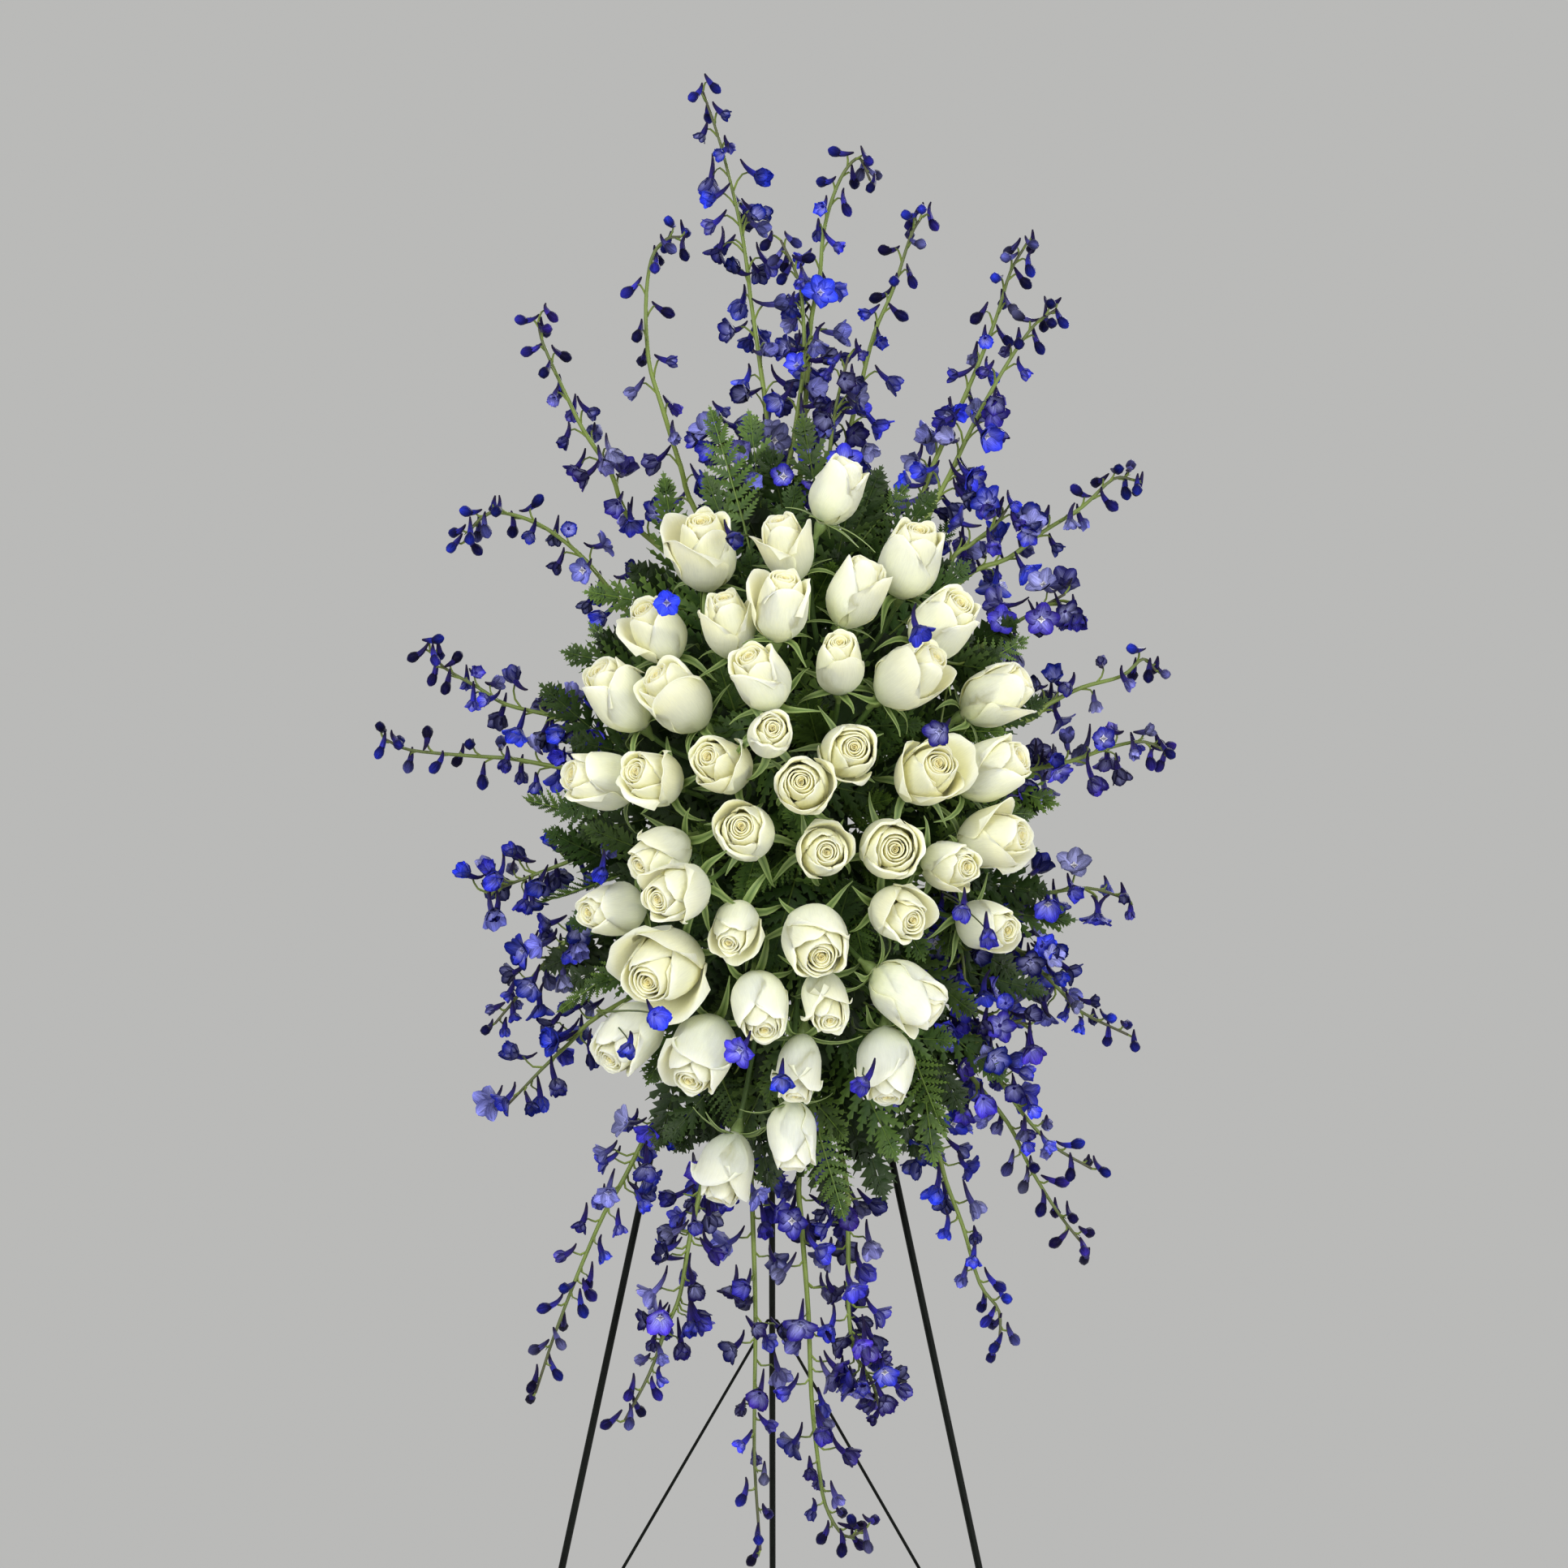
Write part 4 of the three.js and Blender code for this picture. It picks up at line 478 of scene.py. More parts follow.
def rose_place(rose, forward):
    """A rose's place: the middle of its bloom is where the photograph shows it"""
    at, tip, wide = rose
    across = (tip[0] - at[0]) / ROSE_HALF_PIXELS
    up = (at[1] - tip[1]) / ROSE_HALF_PIXELS
    size = math.hypot(across, up)
    flat = min(size, ROSE_FLATTEST)
    axis = vec(across / size * flat, -math.sqrt(1 - flat * flat), up / size * flat)
    radius = wide * scale_at(forward) / 2
    length = min(ROSE_LENGTH + ROSE_LENGTH_CHANGE, ROSE_LENGTH_TO_RADIUS * radius)
    length = max(ROSE_LENGTH - ROSE_LENGTH_CHANGE, length)
    base = seen(at, forward) - axis * (length * ROSE_MIDDLE_UP)
    return Record(base=base, axis=axis, radius=radius, length=length)


def rose_balls(place):
    heights, girths = np.array(ROSE_BALLS).T
    middles = place.base + (heights * place.length)[:, None] * place.axis
    return np.column_stack([middles, girths * place.radius])


def dome_forward(pixel):
    """How far forward the dome of roses stands at a pixel"""
    x = (pixel[0] - ROSE_MIDDLE[0]) / ROSE_WIDE
    z = (pixel[1] - ROSE_MIDDLE[1]) / ROSE_HIGH
    return ROSE_NEAR + ROSE_BULGE * math.sqrt(max(0, 1 - x * x - z * z))


def make_groups(kind, table):
    """The nodes of one kind of plant, with what the table says of each"""
    return [
        Record(name=f"{kind}_{g + 1:02d}", plants=plants, places=[])
        for g, plants in enumerate(table)
    ]


def lay_roses(groups):
    for g, group in enumerate(groups):
        for i, rose in enumerate(group.plants):
            dome = dome_forward(rose[0])
            tries = [dome + more for more in DOME_STEPS]
            forward = settle(tries, lambda one: rose_balls(rose_place(rose, one)), [])
            place = rose_place(rose, forward)
            place.name = f"bloom_{g}_{i}"
            place.turn = between(0, 2 * math.pi)
            taken.take(rose_balls(place), place.name)
            group.places.append(place)


def give_holes(groups, face, aim_of):
    """Gives each group the free hole that suits it, and keeps what sticks out of the hole clear"""
    for group in groups:
        hole = nearest_hole(np.mean(aim_of(group), axis=0), face)
        group.hole = hole
        end = hole.at + hole.out * SHARED_STEM_OUT
        taken.take(balls_along([hole.at, end], SHARED_STEM_RADIUS), group.name)


def settled_stem(group, index, end, arrival, radius, ignored):
    """A stem bent clear of what is placed; its finer points go with it"""
    def points_of(shift, steps=3):
        return stem_points(group.hole, index, end, arrival, shift, steps)

    shift = settle(
        shifts(STEM_SHIFTS), lambda one: balls_along(points_of(one), radius)[3:], ignored)
    return points_of(shift), points_of(shift, 14)


def lay_rose_stems(groups):
    for group in groups:
        for i, place in enumerate(group.places):
            own = [group.name, place.name]
            coarse, place.stem = settled_stem(
                group, i, place.base, place.axis, ROSE_STEM_RADIUS, own
            )
            taken.take(balls_along(coarse, ROSE_STEM_RADIUS), group.name)


def spire_points(spire, hole, index, shift):
    """A delphinium's stem: from its hole through the points that the photograph shows"""
    pixels, forward = spire[:2]
    count = len(pixels)
    way = [
        seen(pixel, forward[0] + (forward[1] - forward[0]) * (i / (count - 1)))
        for i, pixel in enumerate(pixels)
    ]
    start = stem_start(hole, index)
    turn = start + hole.out * SPIRE_TURN + unit(way[0] - start) * 4
    way[0] = way[0] + shift
    way[1] = way[1] + shift * 0.4
    return catmull_rom([start, turn, *way], 4 * (count + 1))


def lay_spires(groups):
    for group in groups:
        for i, spire in enumerate(group.plants):
            def balls_of(shift):
                return balls_along(spire_points(spire, group.hole, i, shift), SPIRE_FOOT_RADIUS)

            shift = settle(
                shifts(STEM_SHIFTS[:4]), lambda one: balls_of(one)[3:], [group.name])
            taken.take(balls_of(shift), group.name)
            points = spire_points(spire, group.hole, i, shift)
            group.places.append(Record(points=points, florets=spire[2], open=spire[3]))


def floret_place(stem, share, angle, is_open, reach):
    """A floret's place on its stem: it stands off on its own stalk and nods outwards"""
    points = stem.points
    last = len(points) - 1
    at = FIRST_SEEN + share * (last - FIRST_SEEN)
    index = min(math.floor(at), last - 1)
    root = points[index] + (points[index + 1] - points[index]) * (at - index)
    upward = unit(points[index + 1] - points[index])
    out, _ = around(sideways(upward), angle)
    end = root + out * reach + upward * (reach * (0.45 if is_open else 0.6))
    facing = out + upward * 0.15
    facing[2] -= 0.25 if is_open else 0.6
    facing[1] -= 0.35 if is_open else 0
    return Record(
        root=root, end=end, facing=unit(facing), upward=upward, open=is_open, way=None, columns=5)


def floret_balls(floret, size):
    end, facing = floret.end, floret.facing
    half = end + (floret.root - end) * 0.45
    if floret.open:
        return np.array([[*(end + facing), FLORET_RADIUS * size], [*half, 1]])
    return np.array([
        [*(end + facing * (5 * size)), (BUD_RADIUS + 1) * size],
        [*(end - facing * (6 * size)), 2.5],
        [*half, 1],
    ])


def lay_florets(groups):
    for group in groups:
        for stem in group.places:
            stem.placed = []
            spin = between(0, 2 * math.pi)
            for i in range(stem.florets):
                is_open = i < stem.open
                share = (i + 0.3) / (stem.florets - 0.7)
                size = between(0.82, 1.08) if is_open else 1 - 0.35 * share
                reach = between(17, 24) if is_open else 15 - 8 * share
                tries = [
                    (spin + i * GOLDEN_ANGLE + more, reach * shorter)
                    for shorter in FLORET_SHORTER for more in FLORET_TURNS
                ]

                def balls_of(one):
                    return floret_balls(floret_place(stem, share, one[0], is_open, one[1]), size)

                chosen = settle(tries, balls_of, [group.name])
                floret = floret_place(stem, share, chosen[0], is_open, chosen[1])
                vars(floret).update(size=size, share=share, turn=between(0, 2 * math.pi))
                balls = floret_balls(floret, size)
                if clearance(balls, taken.near(balls, [group.name])) > JUST_CLEAR:
                    taken.take(balls, group.name + "_florets")
                    stem.placed.append(floret)


def frond_place(frond, nearer, roll, narrow):
    """A frond's place: an arched rib from its foot to its tip, its blade rolled about the rib"""
    foot = seen(frond[0], frond[2][0] + nearer)
    tip = seen(frond[1], frond[2][1] + nearer)
    middle = foot + (tip - foot) * 0.5
    middle[1] -= FROND_ARCH
    return blade_frame([foot, middle, tip], frond[3] * narrow, roll)


def rib_points(place, shares):
    """Points of a frond's rib at shares of its way"""
    t = np.atleast_1d(np.asarray(shares, float))[:, None]
    foot, middle, tip = place.rib
    return foot * (1 - t) ** 2 + middle * (2 * t * (1 - t)) + tip * t ** 2


def blade_frame(rib, wide, roll):
    """A frond's place with its blade's cross direction and its normal"""
    place = Record(rib=rib, wide=wide)
    near = rib_points(place, [0.4999, 0.5001])
    forward = unit(near[1] - near[0])
    across = unit(np.cross(forward, vec(0, -1, 0)))
    normal = unit(np.cross(across, forward))
    place.across, place.normal = around((across, normal), roll)
    return place


def pinna_reach(place, share):
    share = np.asarray(share, float)
    return place.wide / 2 * (1 - share) ** 0.8 * np.minimum(1, 0.62 + 2 * share)


def frond_balls(place):
    shares = np.arange(7) / 6
    middles = rib_points(place, shares)
    reach = pinna_reach(place, np.maximum(shares - 0.1, 0))
    centres = middles[:, None] + (reach[:, None] * FROND_BALLS_ACROSS)[..., None] * place.across
    return with_radius(centres.reshape(-1, 3), FROND_BALL_RADIUS)


def lay_fronds(groups):
    tries = list(itertools.product(FROND_STEPS, FROND_ROLLS, FROND_NARROWER))
    for group in groups:
        for i, frond in enumerate(group.plants):
            chosen = settle(tries, lambda one: frond_balls(frond_place(frond, *one)), [group.name])
            place = frond_place(frond, *chosen)
            foot, middle, _ = place.rib
            coarse, place.stem = settled_stem(
                group, i, foot, unit(middle - foot), FROND_STEM_RADIUS, [group.name]
            )
            taken.take(frond_balls(place), group.name)
            taken.take(balls_along(coarse, FROND_STEM_RADIUS), group.name)
            group.places.append(place)


holes = make_holes()
roses = make_groups("roses", ROSES)
spires = make_groups("delphiniums", SPIRES)
fronds = make_groups("fern_fronds", FRONDS)
lay_roses(roses)
give_holes(roses, "front", lambda group: [place.base for place in group.places])
give_holes(spires, "side", lambda group: [seen(way[0], near[0]) for way, near, *_ in group.plants])
give_holes(fronds, "front", lambda group: [seen(leaf[0], leaf[2][0]) for leaf in group.plants])
lay_rose_stems(roses)
lay_spires(spires)
lay_florets(spires)
lay_fronds(fronds)

# From here on, the finer forms: their own draws, which leave the layout as it is
chance = np.random.default_rng(20262)
vary = chance.uniform
ANY_TURN = (0, 6.28)
# Edges sharper than this many degrees aren't shaded smooth
SHARP_FROM = 62
THREE_ACROSS = np.array([-1.0, 0.0, 1.0])


def rgb(red, green, blue):
    """A colour from its screen values, as light"""
    value = np.array([red, green, blue]) / 255
    return np.where(value <= 0.04045, value / 12.92, ((value + 0.055) / 1.055) ** 2.4)


def blend(low, high, share):
    """Colours between two, for an array of shares"""
    share = np.clip(np.asarray(share, float), 0, 1)[..., None]
    return low * (1 - share) + high * share


def past(values, low):
    """How far values are past a low one, from 0 to 1 where they reach 1"""
    return np.clip((values - low) / (1 - low), 0, 1)


def unit_rows(vectors):
    """Vectors brought to a length of 1"""
    return vectors / np.maximum(np.linalg.norm(vectors, axis=-1, keepdims=True), 1e-9)


def travelled(way):
    """How far along a way each of its points is"""
    return np.append(0, np.cumsum(np.linalg.norm(np.diff(way, axis=0), axis=1)))


def summed(steps):
    """The points that steps lead to from a start"""
    return np.vstack([np.zeros(3), np.cumsum(steps, axis=0)])


def five_angles(turn, change):
    """Five angles round an axis, each a little off"""
    for i in range(5):
        yield turn + i * 2 * math.pi / 5 + vary(-change, change)


class Pile:
    """The points and faces of one piece, with a colour and a place in the grain at each point"""

    def __init__(self):
        self.points, self.hues, self.grains = [], [], []
        self.quads, self.triangles = [], []
        self.count = 0

    def add(self, points, hues, grains, *faces):
        self.points.append(points)
        self.hues.append(np.broadcast_to(hues, points.shape))
        self.grains.append(grains)
        for known, new in zip((self.quads, self.triangles), faces):
            known.extend((new + self.count).tolist())
        self.count += len(points)


@functools.cache
def grid_faces(rows, columns):
    """The faces of a thin closed sheet over a grid of points: front, back and rim"""
    count = rows * columns
    number = np.arange(count).reshape(rows, columns)
    front = np.stack([number[:-1, :-1], number[:-1, 1:], number[1:, 1:], number[1:, :-1]], axis=-1)
    front = front.reshape(-1, 4)
    loop = np.concatenate([number[0, :-1], number[:-1, -1], number[-1, :0:-1], number[:0:-1, 0]])
    after = np.roll(loop, -1)
    rim = np.stack([after, loop, loop + count, after + count], axis=-1)
    return np.vstack([front, front[:, ::-1] + count, rim])


def grain_of(across, along):
    """A place in the grain for each point of a grid, each sheet or tube in a part of its own"""
    return np.stack(np.broadcast_arrays(across, along[:, None], vary(0, 900)), axis=-1)


def sheet(pile, grid, thick, front_hue, back_hue=None):
    """A closed thin sheet over a grid of points, whose front is on the side that they turn round"""
    rows, columns = grid.shape[:2]
    normal = unit_rows(np.cross(np.gradient(grid, axis=1), np.gradient(grid, axis=0)))
    half = normal * np.broadcast_to(thick, (rows, columns))[..., None] / 2
    grain = grain_of(travelled(grid[rows // 2]), travelled(grid[:, columns // 2]))
    hues = [front_hue, front_hue if back_hue is None else back_hue]
    hues = [np.broadcast_to(hue, grid.shape) for hue in hues]
    sides = ([grid + half, grid - half], hues, [grain, grain])
    pile.add(*(np.concatenate(both).reshape(-1, 3) for both in sides), grid_faces(rows, columns))


def ribbon(way, widths, across, shares):
    """A grid of points across a way, at shares of its width at each point"""
    return way[:, None] + (widths[:, None] * shares)[..., None] * across


def tube(pile, way, radii, sides, hue, lobes=0.0, count=0):
    """A closed round skin along a way, with a radius at each point, and so many lobes round it"""
    way = np.asarray(way, float)
    radii = np.asarray(radii, float)
    rows = len(way)
    tangents = unit_rows(np.gradient(way, axis=0))
    angles = np.arange(sides) * 2 * math.pi / sides
    first = sideways(tangents[0])[0]
    rings = []
    for point, tangent, radius in zip(way, tangents, radii):
        first = unit(first - tangent * float(first @ tangent))
        second = np.cross(tangent, first)
        reach = radius * (1 + lobes * np.cos(count * angles))
        rings.append(point + reach[:, None] * (
            np.cos(angles)[:, None] * first + np.sin(angles)[:, None] * second))
    number = np.arange(rows * sides).reshape(rows, sides)
    after = np.roll(number, -1, axis=1)
    quads = np.stack([number[:-1], after[:-1], after[1:], number[1:]], axis=-1).reshape(-1, 4)
    ends = np.full(sides, rows * sides)
    triangles = np.vstack([
        np.stack([ends, after[0], number[0]], axis=-1),
        np.stack([ends + 1, number[-1], after[-1]], axis=-1),
    ])
    grain = grain_of(angles * radii.mean(), travelled(way))
    hue = np.broadcast_to(hue, (rows, 3))
    pile.add(
        np.vstack([*rings, way[:1], way[-1:]]),
        np.vstack([np.repeat(hue, sides, axis=0), hue[:1], hue[-1:]]),
        np.vstack([grain.reshape(-1, 3), grain[0, :1], grain[-1, :1]]),
        quads, triangles,
    )


def turned(pile, base, axis, profile, sides, hue, lobes=0.0, count=0):
    """A tube along an axis, from a profile of heights and radii"""
    heights, radii = np.array(profile, float).T
    tube(pile, base + axis * heights[:, None], radii, sides, hue, lobes, count)


def add_object(name, data):
    thing = bpy.data.objects.new(name, data)
    bpy.context.scene.collection.objects.link(thing)
    return thing


def piece(name, pile, material, slot, *nodes):
    """Makes the mesh of a pile, in the row's frame and in metres, in place of its nodes"""
    mesh = bpy.data.meshes.new(name)
    points = (np.vstack(pile.points) - MIDDLE) / METRE
    mesh.from_pydata(points.tolist(), [], pile.quads + pile.triangles)
    colours = np.column_stack([np.vstack(pile.hues), np.ones(len(points))])
    for field, kind, key, values in (
        ("hue", "FLOAT_COLOR", "color", colours),
        ("grain", "FLOAT_VECTOR", "vector", np.vstack(pile.grains)),
    ):
        layer = mesh.attributes.new(field, kind, "POINT")
        layer.data.foreach_set(key, values.astype(np.float32).ravel())
    mesh.shade_smooth()
    mesh.set_sharp_from_angle(angle=math.radians(SHARP_FROM))
    mesh.materials.append(material)
    mesh.update()
    thing = add_object(name, mesh)
    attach(thing, "spray")
    if nodes:
        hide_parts(*nodes)


# The bundle that a node's stems share, as heights over the foam and radii, and the plug under it
BUNDLE = ((0.5, 3.2), (5, 3.9), (10, 3.7), (13, 2.2))
PLUG_UP = 4
PLUG_RADIUS = 2.3
FRONT_DEEP = 22
SIDE_DEEP = 14


def stem_root(pile, hole, deep, hue):
    """What a node's stems share: the plug in the foam and the bundle that comes out of it"""
    plug = ((-deep, PLUG_RADIUS), (PLUG_UP, PLUG_RADIUS))
    turned(pile, hole.at, hole.out, plug, 8, hue)
    turned(pile, hole.at, hole.out, BUNDLE, 10, hue)


# Rose petals
PETAL_OUTSIDE = rgb(246, 246, 203)
PETAL_RIM = rgb(250, 251, 223)
PETAL_BASE = rgb(206, 218, 150)
PETAL_WARM = rgb(252, 242, 164)
# The darker yellow-brown that a heart turns to in its innermost turns and at its bottom: painted
# shade in the deep middle of the bloom
PETAL_HEART_SHADE = rgb(208, 182, 100)
PETAL_COOL = np.array([0.985, 1.0, 1.09])
ROSE_GREEN = rgb(76, 100, 46)
ROSE_DEEP = rgb(46, 72, 32)
ROSE_PALE = rgb(160, 178, 112)
PETAL_THICK = 0.45
# Blooms are whiter from this height down, in mm, fully so this much lower
COOL_BELOW = 1230
COOL_OVER = 160
# Each petal from the outermost in: its girth, its rim's girth and its height, as shares
PETALS = [
    (1.0, 0.76, 0.925), (0.98, 0.71, 0.94), (0.96, 0.66, 0.955), (0.92, 0.605, 0.97),
    (0.88, 0.55, 0.98), (0.83, 0.495, 0.985), (0.75, 0.44, 0.98), (0.66, 0.39, 0.975),
    (0.57, 0.34, 0.97), (0.49, 0.29, 0.965), (0.41, 0.245, 0.96), (0.33, 0.2, 0.955),
    (0.26, 0.16, 0.95),
]
# How often each of the outer petals hangs loose, and from which one on they stand tight
LOOSE_SHARES = (0.6, 0.4, 0.25)
FIRST_TIGHT = 6
PETAL_TURN = 2.42
PETAL_BELLY = 0.45
HEART_SIZE = 0.98
HEART_TURNS = 2.3
HEART_POINTS = (34, 4)
SEPAL_STEPS = 7
# The hip under a bloom: heights along its axis and radii
HIP = ((-14, 2.1), (-10, 2.5), (-6, 4.3), (-2, 5.6), (1.5, 5.4), (4, 3.0))


def petal_radius(v, end):
    """A petal's distance from the axis at a share of its height: a barrel, narrow at its end"""
    low = 0.14 + 0.86 * np.sin(np.minimum(v / PETAL_BELLY, 1) * math.pi / 2) ** 0.72
    return np.where(v < PETAL_BELLY, low, 1 - (1 - end) * past(v, PETAL_BELLY) ** 2.1)


def wrapped(place, radius, theta, height):
    """Points round a bloom's axis"""
    first, second = place.frame
    return (place.base + (radius * np.cos(theta))[..., None] * first
            + (radius * np.sin(theta))[..., None] * second + height[..., None] * place.axis)


def petal(pile, place, angle, size, look, rows, columns):
    """One petal about the axis: its sides lie over its neighbours, its rim rolls outwards"""
    u = np.linspace(-1, 1, columns)
    v = look.low + (1 - look.low) * (1 - np.linspace(1, 0, rows)[:, None] ** 1.35)
    edge = past(v, 0.76)
    half_width = look.wide * (0.5 + 0.5 * np.sin(np.minimum(v * 1.25, 1) * math.pi / 2))
    half_width = half_width * (1 - look.taper * past(v, 0.55) ** 2.5)
    roll = look.curl * edge ** 2 * (0.45 + 0.75 * np.abs(u) ** 1.6)
    ripple = look.ripple * edge * np.sin(4.2 * u + look.phase)
    ripple = ripple + look.ruffle * edge ** 2 * np.sin(8.5 * u + 2.3 * look.phase)
    ripple = ripple + look.fold * np.sin(math.pi * v) * np.sin(3.4 * u + 1.7 * look.phase)
    peel = look.peel * place.radius * np.maximum(v - 0.28, 0) ** 1.5 * (1 - 0.25 * u * u)
    extra = look.body * np.clip((1 - v) / look.rim, 0, 1) * (1 - np.abs(u) ** 6)
    radius = place.radius * size * petal_radius(v, look.end) * (1 + look.spiral * u * v)
    radius = radius + roll + ripple + peel - extra / 2
    drop = look.drop * np.abs(u) ** 3.2 * v ** 2 + look.slant * u * v ** 2
    height = place.length * (look.height * v - drop)
    height = height - 0.5 * roll * edge - 0.35 * peel
    height = height + look.point * edge * np.exp(-((u / 0.25) ** 2))
    height = height + 0.7 * look.ruffle * edge * np.sin(6.5 * u + 1.3 * look.phase)
    theta = angle + half_width * u * (1 - 0.22 * look.peel * v)
    pale = past(v, look.pale)
    outside = blend(PETAL_OUTSIDE, PETAL_RIM, pale * 0.9 + vary(0, 0.35) * 0.4)
    outside = blend(outside, PETAL_BASE, (1 - v) ** 3 * 0.95)
    outside = blend(outside, PETAL_WARM, look.warm * (1 - 0.7 * pale))
    inside = blend(PETAL_OUTSIDE, PETAL_WARM, 0.4 + 0.6 * look.warm)
    inside = blend(inside, PETAL_RIM, 0.75 * pale)
    grid = wrapped(place, radius, theta, height)
    sheet(pile, grid, PETAL_THICK + extra, outside * place.tint, inside * place.tint)


def rose_heart(pile, place, angle):
    """The tight spiral in the middle of a bloom, with painted shade darkening its innermost turns
    and its bottom
    """
    turns = np.linspace(0, 1, HEART_POINTS[0])[:, None]
    v = np.linspace(0, 1, HEART_POINTS[1])
    theta = angle + turns * 2 * HEART_TURNS * math.pi
    radius = place.radius * HEART_SIZE * (0.13 - 0.115 * turns ** 0.9)
    radius = radius * (1 + 0.05 * np.sin(3 * theta)) * (1 + 0.16 * past(v, 0.6) ** 2)
    top = place.length * (0.955 - 0.02 * turns) + 0.5 * np.sin(2.2 * theta)
    low = place.length * 0.72
    grid = wrapped(place, radius, theta, low + (top - low) * v)
    # Painted shade: the heart darkens towards its innermost turns and its bottom
    hues = blend(PETAL_WARM, PETAL_HEART_SHADE, turns ** 3 * 0.8 + 0.15 * (1 - v))
    sheet(pile, grid, np.where(v < 0.9, 0.85, 0.35), hues)


def bloom(pile, place):
    """A rose's petals, from the outermost in, each a little less than a half turn on"""
    place.frame = sideways(place.axis)
    openness = vary(0, 1)
    place.tint = 1 + (PETAL_COOL - 1) * np.clip((COOL_BELOW - place.base[2]) / COOL_OVER, 0, 1)
    for i, (size, rim, height) in enumerate(PETALS):
        depth = i / (len(PETALS) - 1)
        outer = i < len(LOOSE_SHARES)
        tight = i >= FIRST_TIGHT
        loose = outer and chance.random() < LOOSE_SHARES[i]
        look = Record(
            wide=vary(2.2, 2.7) if tight else vary(1.35, 1.6),
            taper=0.1 if tight else 0.35,
            end=(rim + 0.13 * openness * (1 - depth) ** 1.5) / size,
            spiral=0.04 if outer else 0.1 if tight else 0.07,
            curl=vary(2.0, 5.0) * (1 - depth) ** 2.2 * (0.6 + 0.7 * openness) + 0.3,
            ripple=vary(0.6, 1.6) * (1 - depth) + 0.15,
            ruffle=vary(0.3, 1.1) * (1 - depth),
            fold=0.0 if tight else vary(0.2, 0.8),
            peel=vary(0.3, 0.85) * (0.5 + 0.5 * openness) if loose else 0.0,
            drop=0.05 if tight else vary(0.24, 0.34),
            slant=vary(0, 0.04),
            point=vary(0.4, 2.0) * (1 - depth),
            height=height * vary(0.98, 1.01),
            body=0.25 if loose else 1.9 if outer else 1.25,
            warm=0.95 * depth ** 1.1,
            pale=0.76 + 0.195 * min(depth * 1.6, 1),
            rim=0.03 if tight else 0.035,
            phase=vary(*ANY_TURN),
            low=0.7 if tight else 0.0,
        )
        rows, columns = (13, 13) if outer else (5, 13) if tight else (11, 11)
        angle = place.turn + i * PETAL_TURN + vary(-0.16, 0.16)
        petal(pile, place, angle, size, look, rows, columns)
    rose_heart(pile, place, place.turn + 1)


def strap(pile, way, widths, normal, thick, hues, fold):
    """A narrow leaf along a way, folded a little along its middle"""
    tangents = np.gradient(way, axis=0)
    across = unit_rows(np.cross(tangents, normal))
    up = unit_rows(np.cross(across, tangents))
    widths = np.asarray(widths)
    grid = ribbon(way, widths, across[:, None], THREE_ACROSS)
    rise = widths[:, None] * fold * np.abs(THREE_ACROSS)
    sheet(pile, grid + rise[..., None] * up[:, None], thick, hues)


def sepals(pile, place):
    """The five narrow sepals under a bloom, standing off and curling back"""
    shares = np.linspace(0, 1, SEPAL_STEPS + 1)
    for angle in five_angles(place.turn, 0.2):
        out, side = around(place.frame, angle)
        length = vary(30, 50)
        start_bend = vary(-0.1, 0.5)
        end_bend = start_bend - vary(0.2, 2.4)
        sway = vary(-16, 16)
        wave = vary(-3, 3)
        bends = (start_bend + (end_bend - start_bend) * shares ** 1.2)[:, None]
        steps = (np.cos(bends) * out + np.sin(bends) * place.axis) * length / SEPAL_STEPS
        way = place.base + place.axis * 1.5 + out * 3.5 + summed(steps[:-1])
        way = way + side * (sway * shares ** 2 + wave * np.sin(5 * shares))[:, None]
        widths = 4.1 * np.sin(math.pi * (0.26 + 0.72 * shares)) ** 0.9 * (1 - 0.6 * shares) + 0.2
        hues = blend(ROSE_GREEN, ROSE_PALE, 0.6 * np.abs(THREE_ACROSS)) * vary(0.88, 1.12)
        strap(pile, way, widths, place.axis + out * 0.2, 0.5, hues, 0.25)


def rose_green(pile, group):
    """What is green of a node's roses: the stems, the hips and the sepals"""
    stem_root(pile, group.hole, FRONT_DEEP, ROSE_DEEP)
    for place in group.places:
        count = len(place.stem)
        hues = blend(ROSE_DEEP, ROSE_GREEN, np.linspace(0, 1, count))
        tube(pile, place.stem[:-1], np.linspace(2.4, 2.2, count - 1), 8, hues[:-1])
        turned(pile, place.base, place.axis, HIP, 12, blend(ROSE_GREEN, ROSE_PALE, 0.3))
        sepals(pile, place)


# Delphinium petals
FLORET_BLUE = rgb(36, 52, 186)
FLORET_VIOLET = rgb(54, 36, 132)
FLORET_PALE = rgb(176, 178, 232)
FLORET_BACK = rgb(34, 26, 92)
FLORET_SPUR = rgb(32, 26, 52)
FLORET_DARK = rgb(18, 14, 40)
FLORET_SPREAD = 1.27
FLORET_CROWDING = 0.62
FLORET_TILT = 0.3
FLORET_NOD = np.array([0.0, 0.22, -0.2])
FLORET_BEND = 1.45
BEE_WHITE = rgb(226, 224, 232)
SPIRE_GREEN = rgb(124, 142, 62)
SPIRE_DEEP = rgb(82, 100, 46)
SPIRE_END = rgb(64, 58, 50)
SPIRE_STOUT = 2.9
SPIRE_SLIM = 1.2
# The bee in the middle of a floret, and a bud: heights and radii
BEE = ((0.5, 1.2), (2.6, 2.2), (4.2, 2.9), (3.0, 1.0))
BUD = ((-2.0, 1.6), (0.5, 2.8), (3.2, 4.1), (6.6, 4.9), (9.8, 4.2), (12.0, 2.2), (12.9, 0.6))
SPUR_RADII = (3.0, 2.6, 1.9, 1.4, 0.75)
# How far to the left and right a bud may hang on its stalk, in mm
BUDS_WITHIN = (-346, 352)
# The buds next to a stem's open florets, which have begun to open
OPENING_BUDS = 4
